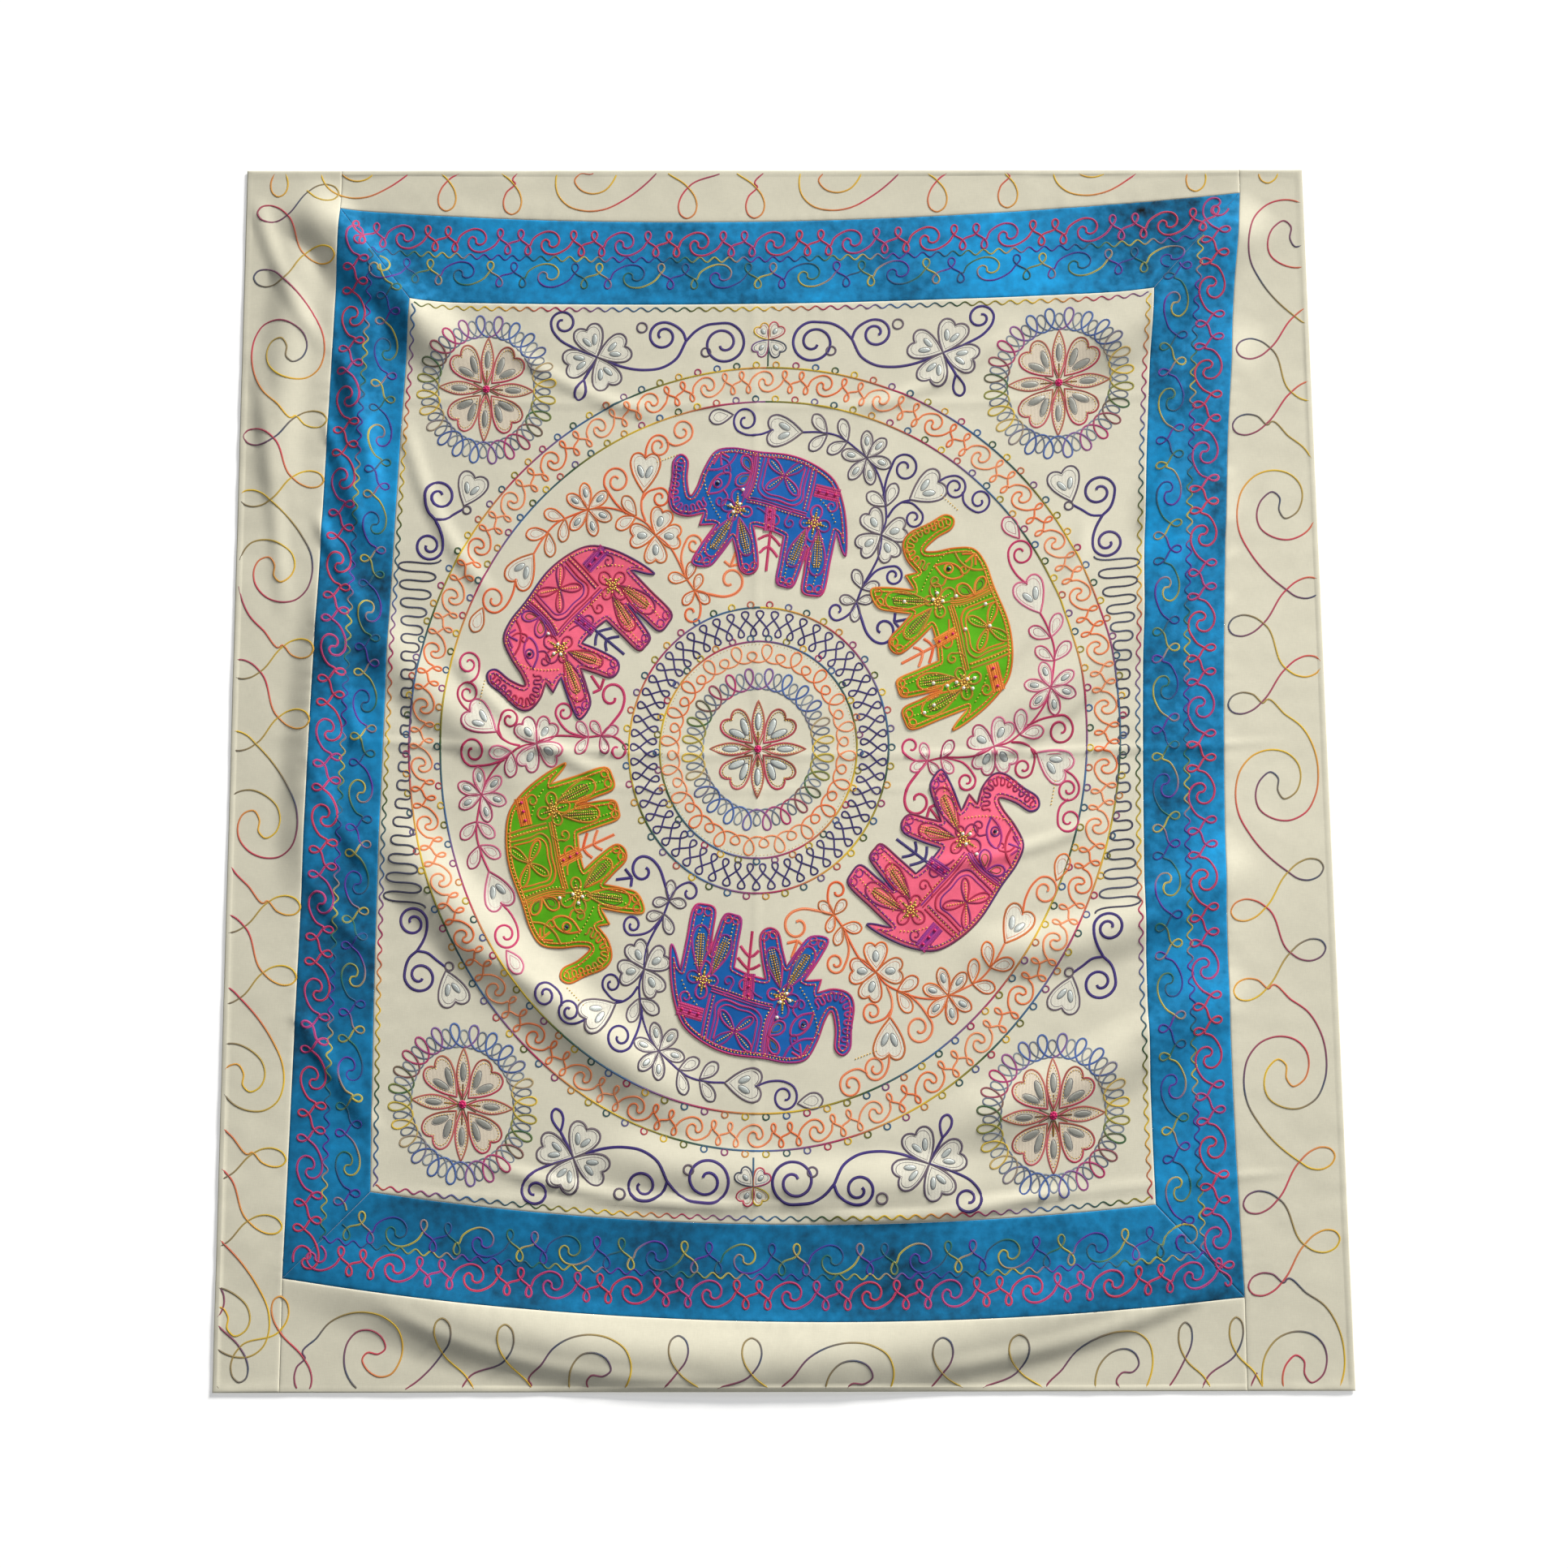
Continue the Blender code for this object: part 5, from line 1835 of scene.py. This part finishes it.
class BedspreadCloth(bpy.types.PropertyGroup):
    """Sizes and colours of the cloth."""

    cell: FloatProperty(
        name="Cell", description="Size of the cloth's mesh cells", default=0.0079, min=0.003, unit="LENGTH"
    )
    white: colour_setting("White", "The centre panel and the border", 218, 213, 192)
    blue: colour_setting("Blue", "The four strips of the frame", 5, 117, 167)
    patch_pink: colour_setting("Pink patch", "The pink elephants", 243, 103, 131)
    patch_blue: colour_setting("Blue patch", "The blue elephants", 10, 96, 174)
    patch_green: colour_setting("Green patch", "The green elephants", 86, 172, 6)


class BedspreadStage(bpy.types.PropertyGroup):
    """The floor, lights and camera."""

    distance: FloatProperty(
        name="Distance", description="From the camera to its aim", default=5.0, min=1, unit="LENGTH"
    )
    tilt: angle_setting("Tilt", "The camera's lean from straight above, toward the foot", 9.3)
    lens: FloatProperty(
        name="Lens", description="The camera's focal length in millimetres", default=60, min=10
    )
    sun: FloatProperty(name="Key light", description="Strength of the soft low light", default=5.6, min=0)
    lamp: FloatProperty(
        name="Lamp", description="Power of the round lamp over the middle, in watts", default=8.0, min=0
    )
    height: angle_setting("Key height", "The low light's height over the floor", 18.5)
    heading: angle_setting("Key heading", "Where the low light is, anticlockwise from the right", 54)
    softness: angle_setting("Key softness", "How wide the low light is", 14)
    world: FloatProperty(name="World", description="Strength of the pale surroundings", default=0.22, min=0)


# Operators.


def dressed(name, mesh, node, material):
    """A finished cloth piece that stands for a node of the solids."""
    mesh.materials.append(material)
    piece = new_object(name, mesh)
    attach(piece, BODY)
    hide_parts(node)
    return piece


def cloth_panel(node, place, across, along, material, face=cloth_top):
    """A panel's cloth, which stands for its node of the solids."""
    name = "cloth_" + node
    return dressed(name, panel_mesh(name, place, across, along, face), node, material)


class BEDSPREAD_OT_centre_panel(bpy.types.Operator):
    """The white cotton centre panel"""

    bl_idname = "bedspread.centre_panel"
    bl_label = "Centre Panel"

    def execute(self, context):
        cloth = context.scene.bedspread_cloth
        white = cloth_material("white_cotton", tuple(cloth.white), mottle_depth=0.07)
        across = shares(2 * CENTRE_HALF_WIDTH, cloth.cell)
        along = shares(2 * CENTRE_HALF_LENGTH, cloth.cell)
        piece = cloth_panel("centre_panel", centre_place, across, along, white)
        return {"FINISHED"}


class BEDSPREAD_OT_blue_strips(bpy.types.Operator):
    """The four blue cotton strips round the centre panel"""

    bl_idname = "bedspread.blue_strips"
    bl_label = "Blue Strips"

    def execute(self, context):
        cloth = context.scene.bedspread_cloth
        colour = tuple(cloth.blue)
        # The blue is also made lighter toward the top right.
        # The blue's deep mottle is partly uneven dyeing and partly painted shade.
        blue = cloth_material("blue_cotton", colour, mottle_depth=1.45, relief=0.3, sheen=0.02, fade=1.0)
        across, along = shares(2 * CENTRE_HALF_WIDTH, cloth.cell), shares(END_BAND, cloth.cell)
        for node, end in (("blue_band_top", 1), ("blue_band_bottom", -1)):
            piece = cloth_panel(node, end_band_place(end), across, along, blue)
        across, along = shares(SIDE_BAND, cloth.cell), shares(2 * CENTRE_HALF_LENGTH, cloth.cell)
        for node, side in (("blue_band_left", -1), ("blue_band_right", 1)):
            piece = cloth_panel(node, side_band_place(side), across, along, blue)
        return {"FINISHED"}


class BEDSPREAD_OT_borders(bpy.types.Operator):
    """The four white cotton border strips with their hems"""

    bl_idname = "bedspread.borders"
    bl_label = "White Borders"

    def execute(self, context):
        cloth = context.scene.bedspread_cloth
        white = cloth_material("white_cotton", tuple(cloth.white), mottle_depth=0.07)
        for node, end in (("border_top", 1), ("border_bottom", -1)):
            width = BORDER_WIDTHS[node]
            across, along = shares(2 * FRAME_HALF_WIDTH, cloth.cell), hemmed_shares(width, cloth.cell)
            piece = cloth_panel(node, end_border_place(end), across, along, white, hemmed_top)
        for node, side in (("border_left", -1), ("border_right", 1)):
            width = BORDER_WIDTHS[node]
            across, along = hemmed_shares(width, cloth.cell), shares(SIDE_LENGTH, cloth.cell)
            piece = cloth_panel(node, side_border_place(side), across, along, white, hemmed_top)
        return {"FINISHED"}


class BEDSPREAD_OT_elephants(bpy.types.Operator):
    """The six appliqued elephants' cloth"""

    bl_idname = "bedspread.elephants"
    bl_label = "Elephants"

    def execute(self, context):
        cloth = context.scene.bedspread_cloth
        for elephant in ELEPHANTS:
            name = "cloth_" + elephant.node
            colour = tuple(getattr(cloth, elephant.cloth))
            # The patches' mottle is partly uneven dyeing and partly painted shade.
            dye_and_shade = cloth_material(elephant.cloth, colour, mottle_depth=0.4, relief=0.35, sheen=0.02)
            piece = dressed(name, patch_mesh(name, elephant), elephant.node, dye_and_shade)
        return {"FINISHED"}


class BEDSPREAD_OT_elephant_stitching(bpy.types.Operator):
    """The embroidery on and under each elephant"""

    bl_idname = "bedspread.elephant_stitching"
    bl_label = "Elephant Stitching"

    def execute(self, context):
        drawing, under, edge = elephant_stitching(), twig(), Motif()
        edge.line(closed(inset(smooth_outline(), EDGE_THREAD_INSET)), "outline", 2.7)
        for elephant in ELEPHANTS:
            place, yarns = elephant_place(elephant), ELEPHANT_YARNS[elephant.cloth]
            stitched, bare = Motif(), Motif()
            stitched.add(drawing, place, yarns)
            stitched.add(edge, place, yarns)
            spots = SEQUINS if elephant.node == "elephant_green_right" else SEQUINS[:FEW_SEQUINS]
            stitched.add(sequins(spots), place)
            bare.add(under, place, yarns)
            embroider("stitching_" + elephant.node, stitched, elephant.node, patch_top)
            embroider("twig_" + elephant.node, bare)
        return {"FINISHED"}


# Where the corner rosettes' middles are, in millimetres.
ROSETTES = ((-567, 711), (556, 711), (-562, -702), (545, -708))


class BEDSPREAD_OT_rosettes(bpy.types.Operator):
    """The four corner rosettes"""

    bl_idname = "bedspread.rosettes"
    bl_label = "Corner Rosettes"

    def execute(self, context):
        motif = Motif()
        for spot in ROSETTES:
            motif.add(rosette(), placed(spot))
        embroider("rosettes", motif)
        return {"FINISHED"}


class BEDSPREAD_OT_medallion(bpy.types.Operator):
    """The medallion in the middle"""

    bl_idname = "bedspread.medallion"
    bl_label = "Medallion"

    def execute(self, context):
        embroider("medallion", medallion())
        return {"FINISHED"}


class BEDSPREAD_OT_great_ring(bpy.types.Operator):
    """The wide ring round the elephants and vines"""

    bl_idname = "bedspread.great_ring"
    bl_label = "Great Ring"

    def execute(self, context):
        embroider("great_ring", great_ring())
        return {"FINISHED"}


class BEDSPREAD_OT_vines(bpy.types.Operator):
    """The six flowering vines between the elephants"""

    bl_idname = "bedspread.vines"
    bl_label = "Vines"

    def execute(self, context):
        motif = Motif()
        drawing = vine()
        for one in VINES:
            motif.add(drawing, on_ring(one.turn), {"stem": one.stem, "outline": one.outline})
        embroider("vines", motif)
        return {"FINISHED"}


class BEDSPREAD_OT_end_motifs(bpy.types.Operator):
    """The flowers and spirals at the top and bottom of the centre"""

    bl_idname = "bedspread.end_motifs"
    bl_label = "End Motifs"

    def execute(self, context):
        motif = Motif()
        half = end_motif()
        motif.add(half, placed())
        motif.add(half, placed((-10, 0), flip=True))
        motif.add(half, placed((-5, 0), turn=180, flip=True))
        motif.add(half, placed((-30, 0), turn=180))
        motif.add(small_blossom(), placed())
        motif.add(small_blossom(), placed((-17, -3), turn=180))
        embroider("end_motifs", motif)
        return {"FINISHED"}


class BEDSPREAD_OT_side_motifs(bpy.types.Operator):
    """The hearts, spirals and winding lines at the left and right of the centre"""

    bl_idname = "bedspread.side_motifs"
    bl_label = "Side Motifs"

    def execute(self, context):
        motif, corner, line = Motif(), side_motif(), Motif()
        line.line(winding_side(), "slate", 2.8)
        motif.add(corner, placed())
        motif.add(corner, placed((-18, 0), flip=True))
        motif.add(corner, placed((-18, 20), turn=180))
        motif.add(corner, placed((0, 20), turn=180, flip=True))
        motif.add(line, placed())
        motif.add(line, placed((-18, 0), flip=True))
        embroider("side_motifs", motif)
        return {"FINISHED"}


class BEDSPREAD_OT_strip_rows(bpy.types.Operator):
    """The rows of hooks on the blue strips and the wavy line beside their seam"""

    bl_idname = "bedspread.strip_rows"
    bl_label = "Strip Rows"

    def execute(self, context):
        embroider("strip_rows", blue_strip_rows(), "blue_band_top")
        embroider("seam_waves", seam_waves())
        return {"FINISHED"}


class BEDSPREAD_OT_border_rows(bpy.types.Operator):
    """The large hooks on the white border"""

    bl_idname = "bedspread.border_rows"
    bl_label = "Border Rows"

    def execute(self, context):
        embroider("border_rows", border_rows(), "border_top")
        return {"FINISHED"}


FLOOR_SIZE = 14.0
FLOOR_DROP = 0.0006
FLOOR_GLOW = 0.3  # keeps the floor pale where the lamps fall off
LAMP_PLACE = (0.55, 0.25, 1.6)
LAMP_SIZE = 1.2
LIGHT_COLOUR = (1.0, 0.985, 0.95)
SURROUNDINGS_COLOUR = (0.93, 0.96, 1.0, 1.0)
CAMERA_AIM = (0.007, -0.05, 0.0)
SENSOR_WIDTH = 36


class BEDSPREAD_OT_stage(bpy.types.Operator):
    """A pale floor, soft lights and the camera above"""

    bl_idname = "bedspread.stage"
    bl_label = "Stage"

    def execute(self, context):
        settings = context.scene.bedspread_stage
        half = FLOOR_SIZE / 2
        corners = [(-half, -half), (half, -half), (half, half), (-half, half)]
        mesh = mesh_from("floor", [(x, y, -FLOOR_DROP) for x, y in corners], [(0, 1, 2, 3)])
        material, _, shader = new_material("floor", from_screen(250, 250, 250), roughness=0.9)
        shader.inputs["Emission Color"].default_value = (1.0, 1.0, 1.0, 1.0)
        shader.inputs["Emission Strength"].default_value = FLOOR_GLOW
        mesh.materials.append(material)
        new_object("floor", mesh, smooth=False)
        lamp = bpy.data.lights.new("key", "SUN")
        lamp.energy, lamp.angle, lamp.color = settings.sun, settings.softness, LIGHT_COLOUR
        key = new_object("key", lamp, smooth=False)
        low = math.cos(settings.height)
        right, ahead = math.cos(settings.heading) * low, math.sin(settings.heading) * low
        toward = Vector((right, ahead, math.sin(settings.height)))
        key.location = toward * settings.distance
        key.rotation_euler = toward.to_track_quat("Z", "Y").to_euler()
        panel = bpy.data.lights.new("panel", "AREA")
        panel.shape, panel.size, panel.energy = "DISK", LAMP_SIZE, settings.lamp
        panel.color = LIGHT_COLOUR
        new_object("panel", panel, smooth=False).location = LAMP_PLACE
        world = context.scene.world or bpy.data.worlds.new("surroundings")
        context.scene.world = world
        world.use_nodes = True
        backdrop = world.node_tree.nodes["Background"]
        backdrop.inputs["Color"].default_value = SURROUNDINGS_COLOUR
        backdrop.inputs["Strength"].default_value = settings.world
        camera = bpy.data.cameras.new("camera")
        camera.lens, camera.sensor_width = settings.lens, SENSOR_WIDTH
        camera.dof.use_dof = False
        eye = new_object("camera", camera, smooth=False)
        back = Vector((0, -math.sin(settings.tilt), math.cos(settings.tilt)))
        eye.location = Vector(CAMERA_AIM) + back * settings.distance
        eye.rotation_euler = (settings.tilt, 0, 0)
        context.scene.camera = eye
        context.scene.view_settings.view_transform = "Standard"
        return {"FINISHED"}


OPERATORS = (
    BEDSPREAD_OT_centre_panel,
    BEDSPREAD_OT_blue_strips,
    BEDSPREAD_OT_borders,
    BEDSPREAD_OT_elephants,
    BEDSPREAD_OT_elephant_stitching,
    BEDSPREAD_OT_rosettes,
    BEDSPREAD_OT_medallion,
    BEDSPREAD_OT_great_ring,
    BEDSPREAD_OT_vines,
    BEDSPREAD_OT_end_motifs,
    BEDSPREAD_OT_side_motifs,
    BEDSPREAD_OT_strip_rows,
    BEDSPREAD_OT_border_rows,
    BEDSPREAD_OT_stage,
)


class BEDSPREAD_PT_sidebar(bpy.types.Panel):
    """The bedspread's settings and pieces"""

    bl_label = "Embroidered Bedspread"
    bl_idname = "BEDSPREAD_PT_sidebar"
    bl_space_type = "VIEW_3D"
    bl_region_type = "UI"
    bl_category = "Bedspread"

    def draw(self, context):
        for settings in (context.scene.bedspread_cloth, context.scene.bedspread_stage):
            box = self.layout.box()
            for name in settings.bl_rna.properties.keys():
                if name not in ("name", "rna_type"):
                    box.prop(settings, name)
        for operator in OPERATORS:
            self.layout.operator(operator.bl_idname)


CLASSES = (BedspreadCloth, BedspreadStage, *OPERATORS, BEDSPREAD_PT_sidebar)


def register():
    for one in CLASSES:
        bpy.utils.register_class(one)
    bpy.types.Scene.bedspread_cloth = PointerProperty(type=BedspreadCloth)
    bpy.types.Scene.bedspread_stage = PointerProperty(type=BedspreadStage)


def unregister():
    del bpy.types.Scene.bedspread_stage
    del bpy.types.Scene.bedspread_cloth
    for one in reversed(CLASSES):
        bpy.utils.unregister_class(one)


def main():
    register()
    for operator in OPERATORS:
        group, name = operator.bl_idname.split(".")
        getattr(getattr(bpy.ops, group), name)()


if __name__ == "__main__":
    main()
